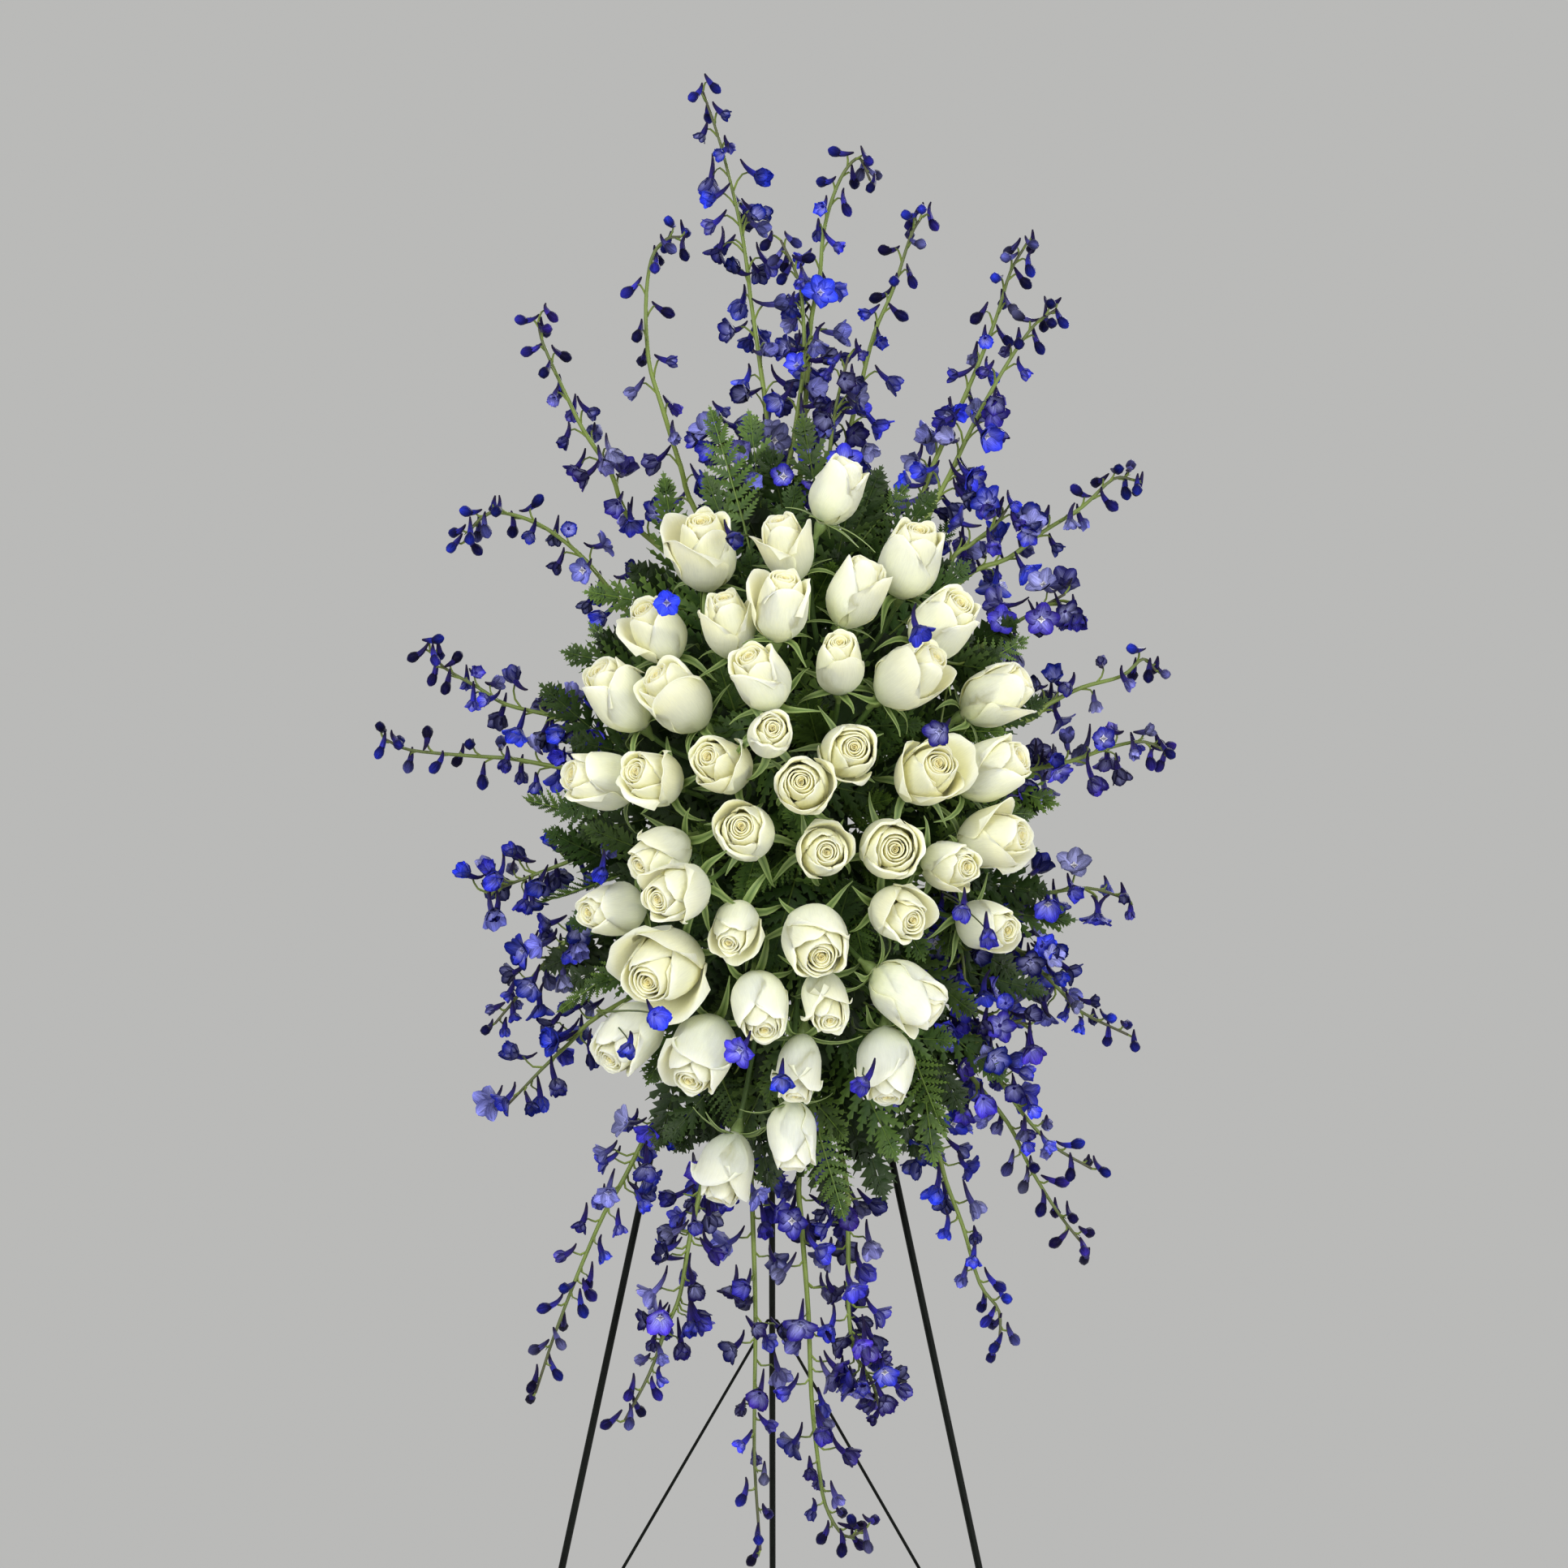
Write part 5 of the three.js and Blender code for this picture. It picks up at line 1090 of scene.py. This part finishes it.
# Florets that the photograph shows in front of the blooms, in pixels, on long stalks of their own
STRAYS = [
    (900, 660), (822, 742), (1128, 772), (1187, 1116), (1216, 1146), (776, 1285), (806, 1250),
    (914, 1292), (963, 1326), (1068, 1330), (1160, 900), (742, 1070),
]
STRAY_RADIUS = 14.0
# How far in front of the blooms a stray floret may stand, tried from the first on, in mm
STRAY_REACHES = range(90, -20, -4)
BEHIND_STRAY = 30


def floret_hues(floret, rows):
    """A sepal's colours, inside and out: a paler streak along its middle, and painted shade that
    darkens its foot and sides
    """
    u = np.abs(np.linspace(-1, 1, floret.columns))
    v = np.linspace(0, 1, rows)[:, None]
    base, streak = floret.base, floret.streak
    shift = vary(0.6, 1.25)
    # Painted shade: inside darker at the sides and towards the foot, outside darker at the foot and
    # at the sides
    inside = blend(base * 1.25, base * 0.45, u ** 1.3 * 0.8 + (v - 0.6) ** 2) * shift
    inside = blend(inside, FLORET_PALE, np.clip(0.75 - v * 1.1, 0, 1) * (1 - u) * streak)
    back = blend(floret.back * 0.35, base * 1.1, v ** 1.3) * shift
    back = blend(back, base * 0.2, u ** 2 * 0.7)
    back = blend(back, FLORET_PALE, np.clip(0.7 - u, 0, 1) * (0.3 + v) * (1 - v) * streak)
    return inside, back


def floret_sepal(pile, floret, facing, angle, start_bend, end_bend):
    """One sepal, rising from the middle of a floret and bending outwards"""
    rows = 5 if floret.columns == 5 else 4
    out, side = around(sideways(facing), angle)
    length = FLORET_RADIUS * FLORET_SPREAD * floret.size * vary(0.98, 1.14)
    shares = np.sin(np.linspace(0, FLORET_BEND, rows)) / math.sin(FLORET_BEND)
    bends = (start_bend + (end_bend - start_bend) * shares)[:, None]
    steps = (np.sin(bends) * out + np.cos(bends) * facing) * length * np.gradient(shares)[:, None]
    line = floret.end + out + summed((steps[1:] + steps[:-1]) / 2)
    widths = length * 0.45 * np.sin(math.pi * (0.12 + 0.8 * shares ** 0.95)) ** 0.6
    widths[-1] *= 0.5
    u = np.linspace(-1, 1, floret.columns)
    cup = 0.34 * widths[:, None] * np.abs(u) ** 1.7
    wave = 0.8 * np.sin(3 * u + angle * 5) * shares[:, None]
    lift = np.cross(unit_rows(steps), side)[:, None]
    inside, back = floret_hues(floret, rows)
    sheet(pile, ribbon(line, widths, side, u) + (cup + wave)[..., None] * lift, 0.35, back, inside)


def spur(pile, floret, facing, length):
    """The curved spur behind a floret"""
    up = unit(vec(0, 0, 1) - facing * float(facing[2]) + chance.normal(0, 0.15, 3))
    bends = (
        (-0.8, 0), (length * 0.45, 1.2), (length * 0.8, length * 0.3),
        (length, length * vary(0.35, 0.75)),
    )
    way = [floret.end - facing * back + up * rise for back, rise in bends]
    way = bezier(way, len(SPUR_RADII) - 1)
    hues = blend(floret.back, FLORET_SPUR, np.linspace(0.1, 1.4, len(SPUR_RADII)))
    tube(pile, way, SPUR_RADII, 5, hues)


def open_floret(pile, floret):
    """Five sepals and the spur behind, and in the wide ones a bee"""
    facing = unit(floret.facing + chance.normal(0, FLORET_TILT, 3) + FLORET_NOD)
    for angle in five_angles(floret.turn, 0.08):
        start_bend = 0.8 + 0.2 * floret.spread + vary(-0.08, 0.08)
        end_bend = 1.75 * floret.spread - 0.15 + vary(-0.2, 0.2)
        floret_sepal(pile, floret, facing, angle, start_bend, end_bend)
    spur(pile, floret, facing, vary(15, 21) * floret.size)
    if floret.spread < 0.4 or floret.columns < 5:
        return
    hue = FLORET_PALE if chance.random() < 0.6 else BEE_WHITE
    turned(pile, floret.end, facing, BEE, 8, [hue, hue, hue, FLORET_DARK], 0.3, 4)


def bud(pile, floret):
    """A closed bud: a drop of four ridges, with its spur behind"""
    facing = unit(floret.facing + chance.normal(0, 0.25, 3))
    size = 0.48 + 0.72 * floret.size
    hues = blend(FLORET_DARK * 0.6, floret.base * 0.5, np.linspace(0, 1, len(BUD)) ** 1.7)
    turned(pile, floret.end, facing, np.array(BUD) * size, 8, hues, 0.05, 4)
    spur(pile, floret, facing, vary(9, 14) * size)


def stalk(pile, floret):
    """The thin curved stalk from the stem to the back of a floret, some with a bract"""
    root = floret.root
    end = floret.end - floret.facing * 1.2
    out = unit(floret.end - root)
    reach = distance(root, end)
    way = floret.way
    if way is None:
        way = bezier([
            root,
            root + (floret.upward * 0.45 + out * 0.4) * reach,
            end - floret.facing * (reach * 0.35) + vec(0, 0, 0.3 * reach),
            end,
        ], 4)
    tip = blend(SPIRE_DEEP, FLORET_DARK, 0.4 + 0.6 * floret.share)
    hues = blend(SPIRE_GREEN, tip, np.linspace(0, 1, len(way)))
    tube(pile, way, np.linspace(1.05, 0.75, len(way)), 4, hues)
    if chance.random() >= 0.6:
        rises = np.array([0, 2.5, 5])[:, None]
        bract = root + out * 1.6 + (floret.upward * 0.8 + out * 0.5) * rises
        strap(pile, bract, [0.9, 0.8, 0.25], out, 0.3, SPIRE_DEEP, 0.2)


def crowd(stem):
    """More florets where a stem's open ones stand, with only blooms and stems in their way"""
    more = []
    for _ in range(round(stem.open * FLORET_CROWDING)):
        share = vary(-0.06, 0.95 * stem.open / stem.florets)
        floret = floret_place(stem, share, vary(*ANY_TURN), True, vary(14, 26))
        vars(floret).update(
            size=vary(0.72, 1), share=max(share, 0), turn=vary(*ANY_TURN), columns=3)
        balls = floret_balls(floret, 0.75)
        if clearance(balls, taken.near(balls, floret_names)) > 0:
            more.append(floret)
    return more


def stray_way(root, end, shift):
    """A long stalk from a stem, between the blooms, to a floret in front of them"""
    near = end + vec(0, BEHIND_STRAY, 4) + shift * 0.6
    return bezier([root, root + (end - root) * 0.25 + shift, near, end], 9)


def place_strays():
    """The stray florets, each on a long stalk from the stem that stands nearest"""
    found = []
    for pixel in STRAYS:
        end = seen(pixel, dome_forward(pixel) + STRAY_REACHES[0])
        for more in STRAY_REACHES:
            nearer = seen(pixel, dome_forward(pixel) + more)
            ball = with_radius(nearer[None], STRAY_RADIUS)
            if clearance(ball, taken.near(ball, other_names)) < 0:
                break
            end = nearer
        behind = end + vec(0, BEHIND_STRAY, 0)
        pairs = [
            pair for group in spires for stem in group.places
            for pair in zip(stem.points[FIRST_SEEN - 2:], stem.points[FIRST_SEEN - 1:])
        ]
        root, after = min(pairs, key=lambda pair: distance(pair[0], behind))
        back = end + vec(0, 2, 0)

        def balls_of(shift):
            return balls_along(stray_way(root, back, shift)[1:-2], 1.0)

        shift = settle(shifts(STEM_SHIFTS[:3]), balls_of, other_names)
        found.append(Record(
            root=root, end=end, way=stray_way(root, back, shift), open=True, columns=5, share=0.3,
            facing=unit(vec(chance.normal(0, 0.5), -1, -0.35)), upward=unit(after - root),
            size=vary(0.8, 1), turn=vary(*ANY_TURN),
        ))
    return found


def draw_floret(flowers, green, floret, violet, opening=False):
    """A floret or a bud in colours of its own, on its stalk"""
    mix = violet + vary(-0.35, 0.45)
    floret.base = blend(FLORET_BLUE, FLORET_VIOLET, mix) * (0.18 + 2.1 * chance.random() ** 1.4)
    if chance.random() < 0.18:
        floret.base = blend(floret.base, FLORET_PALE, vary(0.2, 0.6))
    floret.back = blend(FLORET_BACK, floret.base, vary(0.05, 0.5))
    floret.streak = vary(0.2, 1.6)
    floret.spread = vary(0, 0.3) if opening else 0.06 + 0.84 * chance.random() ** 1.7
    if not floret.open:
        floret.end = floret.end + (floret.end - floret.root) * vary(0, 0.5)
        floret.end[0] = np.clip(floret.end[0], *BUDS_WITHIN)
    stalk(green, floret)
    if opening:
        floret.size *= 0.8
    if floret.open or opening:
        open_floret(flowers, floret)
    else:
        bud(flowers, floret)


def stray_pieces():
    """The two pieces of the stray florets: all the flowers, and all the stalks"""
    flowers, green = Pile(), Pile()
    for floret in place_strays():
        draw_floret(flowers, green, floret, 0.2)
    piece("stray_florets", flowers, DELPHINIUM_PETAL, "delphinium_blue")
    piece("stray_stalks", green, PLANT_STEM, "delphinium_green")


def spire_pieces(group):
    """The two pieces of a node's delphiniums: its florets and buds, and its stems and stalks"""
    flowers, green = Pile(), Pile()
    stem_root(green, group.hole, SIDE_DEEP, SPIRE_DEEP)
    for stem in group.places:
        shares = np.linspace(0, 1, len(stem.points))
        hues = blend(SPIRE_GREEN, SPIRE_DEEP, shares * 0.8)
        hues = blend(hues, SPIRE_END, (shares - 0.7) * 3)
        radii = SPIRE_STOUT + (SPIRE_SLIM - SPIRE_STOUT) * shares
        tube(green, stem.points, radii, 9, hues, 0.07, 3)
        violet = vary(0, 0.7)
        for i, floret in enumerate([*stem.placed, *crowd(stem)]):
            opening = not floret.open and i < stem.open + OPENING_BUDS
            draw_floret(flowers, green, floret, violet, opening)
    piece(group.name + "_flowers", flowers, DELPHINIUM_PETAL, "delphinium_blue", group.name)
    piece(group.name + "_stems", green, PLANT_STEM, "delphinium_green", group.name)


# Fern
FERN_DARK = rgb(42, 67, 27)
FERN_FRESH = rgb(112, 142, 56)
FERN_RIB = rgb(92, 112, 50)
FILLING_PIECES = 4
# Half the filling's width and height, in pixels
FILLING_WIDE = 270
FILLING_HIGH = 445
# How the filling's fronds stand in rows: how many, the middle one, and how many to a half
FILLING_ROWS = (12, 5.5, 5.8)
FILLING_COLUMNS = (8, 3.75, 3.9)
# The filling ends this share of the dome's height below its middle
LOWEST_FILLING = 0.85
# The filling's layers: how far behind the blooms, in mm, and how much of the dome they fill
FILLING_LAYERS = ((88, 1), (125, 0.72))
FILLING_STEPS = (0, -15, 15, -30, 28, -45)
FILLING_ROLLS = (0, 0.4, -0.4, 0.8, -0.8)
# Where the filling leaves a hole that the photograph doesn't show, in pixels
PATCHES = [
    (1065, 1395), (937, 1402), (1110, 1366), (868, 1372), (757, 1185), (760, 925), (836, 934),
    (850, 1010), (1225, 1090), (1168, 1012), (1190, 800), (1195, 1165), (1150, 1300), (1060, 640),
    (1005, 1420), (784, 1012), (832, 1340), (1172, 855), (742, 1160), (960, 608),
]
PATCH_DEEP = 105
# The fillers stand at least so far forward, and start so far inside the foam's edges, in mm
LEAST_FORWARD = 70
FOAM_INSET = 8
# The plainer fronds of the back layer and of the patches, as frond() takes them; their low shade
# paints them darker, as painted shade
BACK_FROND = (6, 2, 0.7, 0.1, 0.4, 1.5)
PATCH_FROND = (7, 3, 0.45, 0.2, 0.5, 1.25)


def pinna(pile, root, tip, normal, half_width, teeth, notch, dark, fresh):
    """One leaflet row, cut into teeth that lean forward, from the rib to its tip"""
    rows = 2 * teeth + 2
    shares = np.linspace(0, 1, rows)
    is_tooth = np.arange(rows) % 2
    direction = unit(tip - root)
    across = unit(np.cross(direction, normal))
    sway = vary(-0.08, 0.08) * distance(root, tip)
    way = root + (tip - root) * shares[:, None] + across * (sway * shares ** 2)[:, None]
    way = way - normal * (2.5 * shares ** 2)[:, None]
    reach = half_width * (1 - shares) ** 0.7 * np.minimum(1, 0.72 + 1.6 * shares)
    reach = reach * np.where(is_tooth, vary(0.88, 1.08, rows), notch * (1 - 0.5 * shares))
    reach[-1] = 0.25
    side = np.abs(THREE_ACROSS)
    grid = ribbon(way, reach, across, THREE_ACROSS)
    for share, off, way_on in ((0.62, 0.0, direction), (0.3, 0.05, -normal)):
        grid = grid + ((np.where(is_tooth, share, off) * reach)[:, None] * side)[..., None] * way_on
    # Lighter at the teeth and towards the tip: partly the fern's own paler edges and tips, partly a
    # painted highlight on the teeth
    light = 0.45 * side * is_tooth[:, None] + 0.45 * shares[:, None]
    hues = blend(dark, fresh, light + vary(-0.1, 0.3))
    sheet(pile, grid, 0.3, hues, hues * 0.8)


def frond(pile, place, pairs, teeth, notch, fresh, shade=1.0, broad=1.0):
    """A frond: its stem runs into a rib with pairs of toothed leaflet rows, shorter to the tip"""
    # shade darkens all of the frond's colours: painted shade for the filling's fronds deep among the
    # blooms
    dark = FERN_DARK * vary(0.7, 1.2) * shade
    bright = blend(FERN_DARK, FERN_FRESH, fresh) * shade
    rib = FERN_RIB * shade
    shares = np.linspace(0, 1, pairs)
    tube(pile, place.stem, np.linspace(1.2, 1.0, len(place.stem)), 5, rib)
    hues = blend(rib, bright, shares)
    tube(pile, rib_points(place, shares), np.linspace(1.0, 0.35, pairs), 5, hues)
    spacing = distance(place.rib[0], place.rib[2]) / pairs
    for i in range(pairs):
        share = i / pairs
        root = rib_points(place, share)[0]
        lean = rib_points(place, min(share + 1.6 / pairs, 1))[0]
        reach = float(pinna_reach(place, share + 0.02))
        for side in (1, -1):
            outward = place.across * (side * reach * vary(0.9, 1.05))
            tip = lean + outward - place.normal * (reach * vary(0.05, 0.25))
            half = spacing * vary(0.5, 0.62) * broad + 0.6
            normal = unit(place.normal + chance.normal(0, 0.16, 3))
            pinna(pile, root, tip, normal, half, teeth, notch, dark, bright)
    last, end = rib_points(place, [0.93, 1])
    tip = end + (end - last) * 0.9
    pinna(pile, last, tip, place.normal, spacing * 0.45, 3, notch, dark, bright)


def fill_fronds():
    """Shorter fronds behind the blooms, where the photograph is dark with fern, most of them
    darkened with painted shade
    """
    found = []
    rows, middle_row, half_rows = FILLING_ROWS
    columns, middle_column, half_columns = FILLING_COLUMNS
    for layer, (deep, most) in enumerate(FILLING_LAYERS):
        for row in range(rows):
            for column in range(columns):
                x = (column - middle_column + 0.5 * ((row + layer) % 2)) / half_columns
                z = (row - middle_row) / half_rows
                if x * x + z * z <= most and z < LOWEST_FILLING:
                    found.append(fill_frond(x, z, deep, layer))
    for pixel in PATCHES:
        x = (pixel[0] - ROSE_MIDDLE[0]) / FILLING_WIDE
        z = (pixel[1] - ROSE_MIDDLE[1]) / FILLING_HIGH
        found.append(fill_frond(x, z, PATCH_DEEP, len(FILLING_LAYERS)))
    return found


def fill_frond(x, z, deep, layer):
    """A short frond at a share of the dome's width and height, so many mm behind the blooms"""
    pixel = (ROSE_MIDDLE[0] + x * FILLING_WIDE, ROSE_MIDDLE[1] + z * FILLING_HIGH)
    heading = vec(x, 0, -z) + vec(chance.normal(0, 0.3), 0, chance.normal(0, 0.3))
    heading = unit(heading + vec(0, -0.25, 0))
    forward = dome_forward(pixel) - deep
    wide = vary(62, 84)
    length = vary(80, 115)

    def place_of(one):
        tip = seen(pixel, max(forward + one[0], LEAST_FORWARD)) + heading * (length * 0.5)
        foot = tip - heading * length + vec(0, 14, 0)
        middle = (foot + tip) / 2 - vec(0, FROND_ARCH, 0)
        return blade_frame([foot, middle, tip], wide, one[1])

    tries = itertools.product(FILLING_STEPS, FILLING_ROLLS)
    place = place_of(settle(tries, lambda one: frond_balls(place_of(one)), other_names))
    foot = place.rib[0]
    start = np.clip(foot, foam_low + FOAM_INSET, foam_high - FOAM_INSET)
    start[1] = foam_low[1] + 2
    place.stem = bezier([start, start - vec(0, 25, 0), foot + vec(0, 12, 0), foot], 6)
    place.layer = layer
    return place


def fern_pieces(groups):
    """The filling in its pieces, and each node's fronds"""
    fillers = fill_fronds()
    for part in range(FILLING_PIECES):
        pile = Pile()
        for place in fillers[part::FILLING_PIECES]:
            if place.layer:
                look = (BACK_FROND, PATCH_FROND)[place.layer - 1]
            else:
                # The front layer's shade, from frond to frond: mostly a painted shade
                look = (8, 4, 0.45, vary(0, 0.85), vary(0.55, 1.1))
            frond(pile, place, *look)
        piece(f"fern_filling_{part + 1}", pile, FERN_LEAF, "fern_green")
    for group in groups:
        pile = Pile()
        stem_root(pile, group.hole, FRONT_DEEP, FERN_RIB)
        for place in group.places:
            frond(pile, place, 10, 6, 0.35, vary(0.3, 0.9))
        piece(group.name + "_leaves", pile, FERN_LEAF, "fern_green", group.name)


# Materials: the scales of their noises, how far veins are stretched along the grain, how much the
# roughness changes, and how high the relief is in metres
CLOUD_SCALE = 60.0
FINE_SCALE = 900.0
NOISE_ROUGHNESS = 0.55
VEIN_STRETCH = 0.09
PLANT_ROUGHER = 0.08
PLANT_RELIEF = 0.0004
SOLID_ROUGHER = 0.1
SOLID_RELIEF = 0.0005


def new_material(name, roughness, specular, more=None):
    """A material with its own surface shader, whose steady values are set on the shader itself"""
    material = bpy.data.materials.new(name)
    material.use_nodes = True
    shader = material.node_tree.nodes["Principled BSDF"]
    values = {"Roughness": roughness, "Specular IOR Level": specular, **(more or {})}
    for socket, value in values.items():
        shader.inputs[socket].default_value = value
    return material, material.node_tree, shader


def linked(tree, kind, inputs=None, **settings):
    """A node with its settings, and its inputs set or linked"""
    node = tree.nodes.new(kind)
    for key, value in settings.items():
        setattr(node, key, value)
    for key, value in (inputs or {}).items():
        if isinstance(value, bpy.types.NodeSocket):
            tree.links.new(value, node.inputs[key])
        else:
            node.inputs[key].default_value = value
    return node


def noise(tree, place, scale, detail=3.0):
    """A noise's value at a place"""
    return linked(tree, "ShaderNodeTexNoise", {
        "Vector": place, "Scale": scale, "Detail": detail, "Roughness": NOISE_ROUGHNESS,
    }).outputs["Fac"]


def spread(tree, value, middle, change):
    """Spreads a noise's middle range over a middle value, so much more or less"""
    return linked(tree, "ShaderNodeMapRange", {
        "Value": value, "From Min": 0.3, "From Max": 0.7,
        "To Min": middle - change, "To Max": middle + change,
    }).outputs["Result"]


def mixed(tree, kind, share, first, second):
    """Two colours, mixed in one of the ways that Blender has"""
    inputs = {0: share, 6: first, 7: second}
    return linked(tree, "ShaderNodeMix", inputs, data_type="RGBA", blend_type=kind).outputs[2]


def calculated(tree, kind, first, second):
    """What a sum or product of two values gives"""
    return linked(tree, "ShaderNodeMath", {0: first, 1: second}, operation=kind).outputs[0]


def surface(tree, shader, colour, rough, height, strength, distance):
    """Links a colour, a roughness and a relief to a shader"""
    relief = linked(tree, "ShaderNodeBump", {
        "Height": height, "Strength": strength, "Distance": distance,
    }).outputs["Normal"]
    for socket, value in (("Base Color", colour), ("Roughness", rough), ("Normal", relief)):
        tree.links.new(value, shader.inputs[socket])


def plant_material(name, roughness, specular, vein, vein_scale, mottle, bump, more=None):
    """A plant's surface: the colours of its mesh, veined along its grain and mottled"""
    material, tree, shader = new_material(name, roughness, specular, more)
    hue = linked(tree, "ShaderNodeAttribute", attribute_name="hue").outputs["Color"]
    grain = linked(tree, "ShaderNodeAttribute", attribute_name="grain").outputs["Vector"]
    scale = (vein_scale, vein_scale * VEIN_STRETCH, 1)
    stretch = linked(tree, "ShaderNodeMapping", {"Vector": grain, "Scale": scale})
    place = linked(tree, "ShaderNodeTexCoord").outputs["Object"]
    veins = noise(tree, stretch.outputs["Vector"], 1.0, 2.0)
    clouds = noise(tree, place, CLOUD_SCALE)
    veined, mottled = spread(tree, veins, 1, vein), spread(tree, clouds, 1, mottle)
    shade = calculated(tree, "MULTIPLY", veined, mottled)
    grey = linked(tree, "ShaderNodeCombineColor", dict.fromkeys(("Red", "Green", "Blue"), shade))
    colour = mixed(tree, "MULTIPLY", 1.0, hue, grey.outputs[0])
    rough = spread(tree, clouds, roughness, PLANT_ROUGHER)
    height = calculated(tree, "ADD", veins, noise(tree, place, FINE_SCALE, 2.0))
    surface(tree, shader, colour, rough, height, bump, PLANT_RELIEF)
    return material


ROSE_PETAL = plant_material("rose_petal", 0.55, 0.3, 0.035, 1.1, 0.03, 0.35, {
    "Subsurface Weight": 0.6, "Subsurface Scale": 0.015, "Subsurface Radius": (1.0, 0.9, 0.55),
    "Sheen Weight": 0.12,
})
DELPHINIUM_PETAL = plant_material("delphinium_petal", 0.42, 0.04, 0.42, 1.3, 0.18, 0.5, {
    "Sheen Weight": 0.02,
})
ROSE_LEAF = plant_material("rose_leaf", 0.5, 0.4, 0.12, 1.0, 0.12, 0.5)
PLANT_STEM = plant_material("plant_stem", 0.5, 0.4, 0.12, 1.6, 0.1, 0.5)
FERN_LEAF = plant_material("fern_leaf", 0.42, 0.22, 0.15, 0.9, 0.16, 0.6)


def solid_material(name, low, high, scale, roughness, bump, specular=0.5):
    """A made surface: two close colours in a fine noise, with a relief"""
    material, tree, shader = new_material(name, roughness, specular)
    place = linked(tree, "ShaderNodeTexCoord").outputs["Object"]
    clouds = noise(tree, place, scale, 5.0)
    colour = mixed(tree, "MIX", spread(tree, clouds, 0.5, 0.5), (*rgb(*low), 1), (*rgb(*high), 1))
    rough = spread(tree, clouds, roughness, SOLID_ROUGHER)
    fine = noise(tree, place, scale * 9, 3.0)
    surface(tree, shader, colour, rough, fine, bump, SOLID_RELIEF)
    return material


EASEL_PAINT = solid_material("easel_paint", (8, 10, 8), (18, 22, 18), 90.0, 0.5, 0.25, 0.08)
CAGE_PLASTIC = solid_material("cage_plastic", (20, 46, 26), (32, 64, 36), 60.0, 0.45, 0.15)
FOAM = solid_material("wet_foam", (26, 62, 36), (44, 88, 50), 260.0, 0.9, 0.8, 0.2)
FLOOR = solid_material("floor", (206, 205, 202), (214, 213, 210), 4.0, 0.7, 0.05, 0.2)

for group in roses:
    petals, green = Pile(), Pile()
    for place in group.places:
        bloom(petals, place)
    rose_green(green, group)
    piece(group.name + "_blooms", petals, ROSE_PETAL, "rose_ivory", group.name)
    piece(group.name + "_stems", green, ROSE_LEAF, "rose_green", group.name)
# Whose places the added florets and fronds may share
floret_names = [name for name in taken.names if name.endswith("florets") or name.startswith("fern")]
other_names = [name for name in taken.names if not name.startswith("bloom")]
stray_pieces()
for group in spires:
    spire_pieces(group)
fern_pieces(fronds)

for name, node in frame["nodes"].items():
    if name == "foam_cage":
        node.material_slots[0].material = CAGE_PLASTIC
    elif name == "floral_foam":
        node.material_slots[0].material = FOAM
    elif not name.startswith(("roses", "delphiniums", "fern")):
        node.material_slots[0].material = EASEL_PAINT

# The studio, in metres
FLOOR_RADIUS = 1.45
FLOOR_SIDES = 96
WALL_GREY = (0.5, 0.5, 0.49, 1)
WALL_LIGHT = 0.98
# Each light: where it stands, what it looks at, its side and its power in watts
LIGHTS = {
    "key": ((-1.5, -2.9, 2.6), (0, -0.1, 1.2), 2.2, 81),
    "fill": ((1.7, -2.9, 1.4), (0, -0.1, 1.1), 2.0, 66),
    "rim": ((1.2, 2.2, 2.8), (0, 0, 1.2), 1.6, 52),
}
SENSOR = 36

floor_mesh = bpy.data.meshes.new("floor")
angles = np.linspace(0, 2 * math.pi, FLOOR_SIDES + 1)[:-1]
ring = FLOOR_RADIUS * np.column_stack([np.cos(angles), np.sin(angles), 0 * angles])
floor_mesh.from_pydata(ring.tolist(), [], [list(range(FLOOR_SIDES))])
floor_mesh.materials.append(FLOOR)
floor = add_object("floor", floor_mesh)

world = bpy.data.worlds.new("studio")
world.use_nodes = True
world.node_tree.nodes["Background"].inputs["Color"].default_value = WALL_GREY
world.node_tree.nodes["Background"].inputs["Strength"].default_value = WALL_LIGHT
bpy.context.scene.world = world

for name, (at, aim, size, power) in LIGHTS.items():
    lamp = bpy.data.lights.new(name, "AREA")
    lamp.energy = power
    lamp.size = size
    light = add_object(name, lamp)
    light.location = at
    back = unit(np.array(light.location) - np.array(aim))
    light.rotation_euler = (math.acos(back[2]), 0, math.atan2(back[0], -back[1]))

lens = bpy.data.cameras.new("camera")
lens.sensor_width = SENSOR
lens.lens = SENSOR * VIEW_DISTANCE / (2 * PHOTO_MIDDLE * MM_PER_PIXEL)
camera = add_object("camera", lens)
camera.location = (np.array([VIEW_X, -VIEW_DISTANCE, VIEW_HEIGHT]) - MIDDLE) / METRE
camera.rotation_euler = (math.pi / 2, 0, 0)
bpy.context.scene.camera = camera
bpy.context.scene.view_settings.view_transform = "Standard"
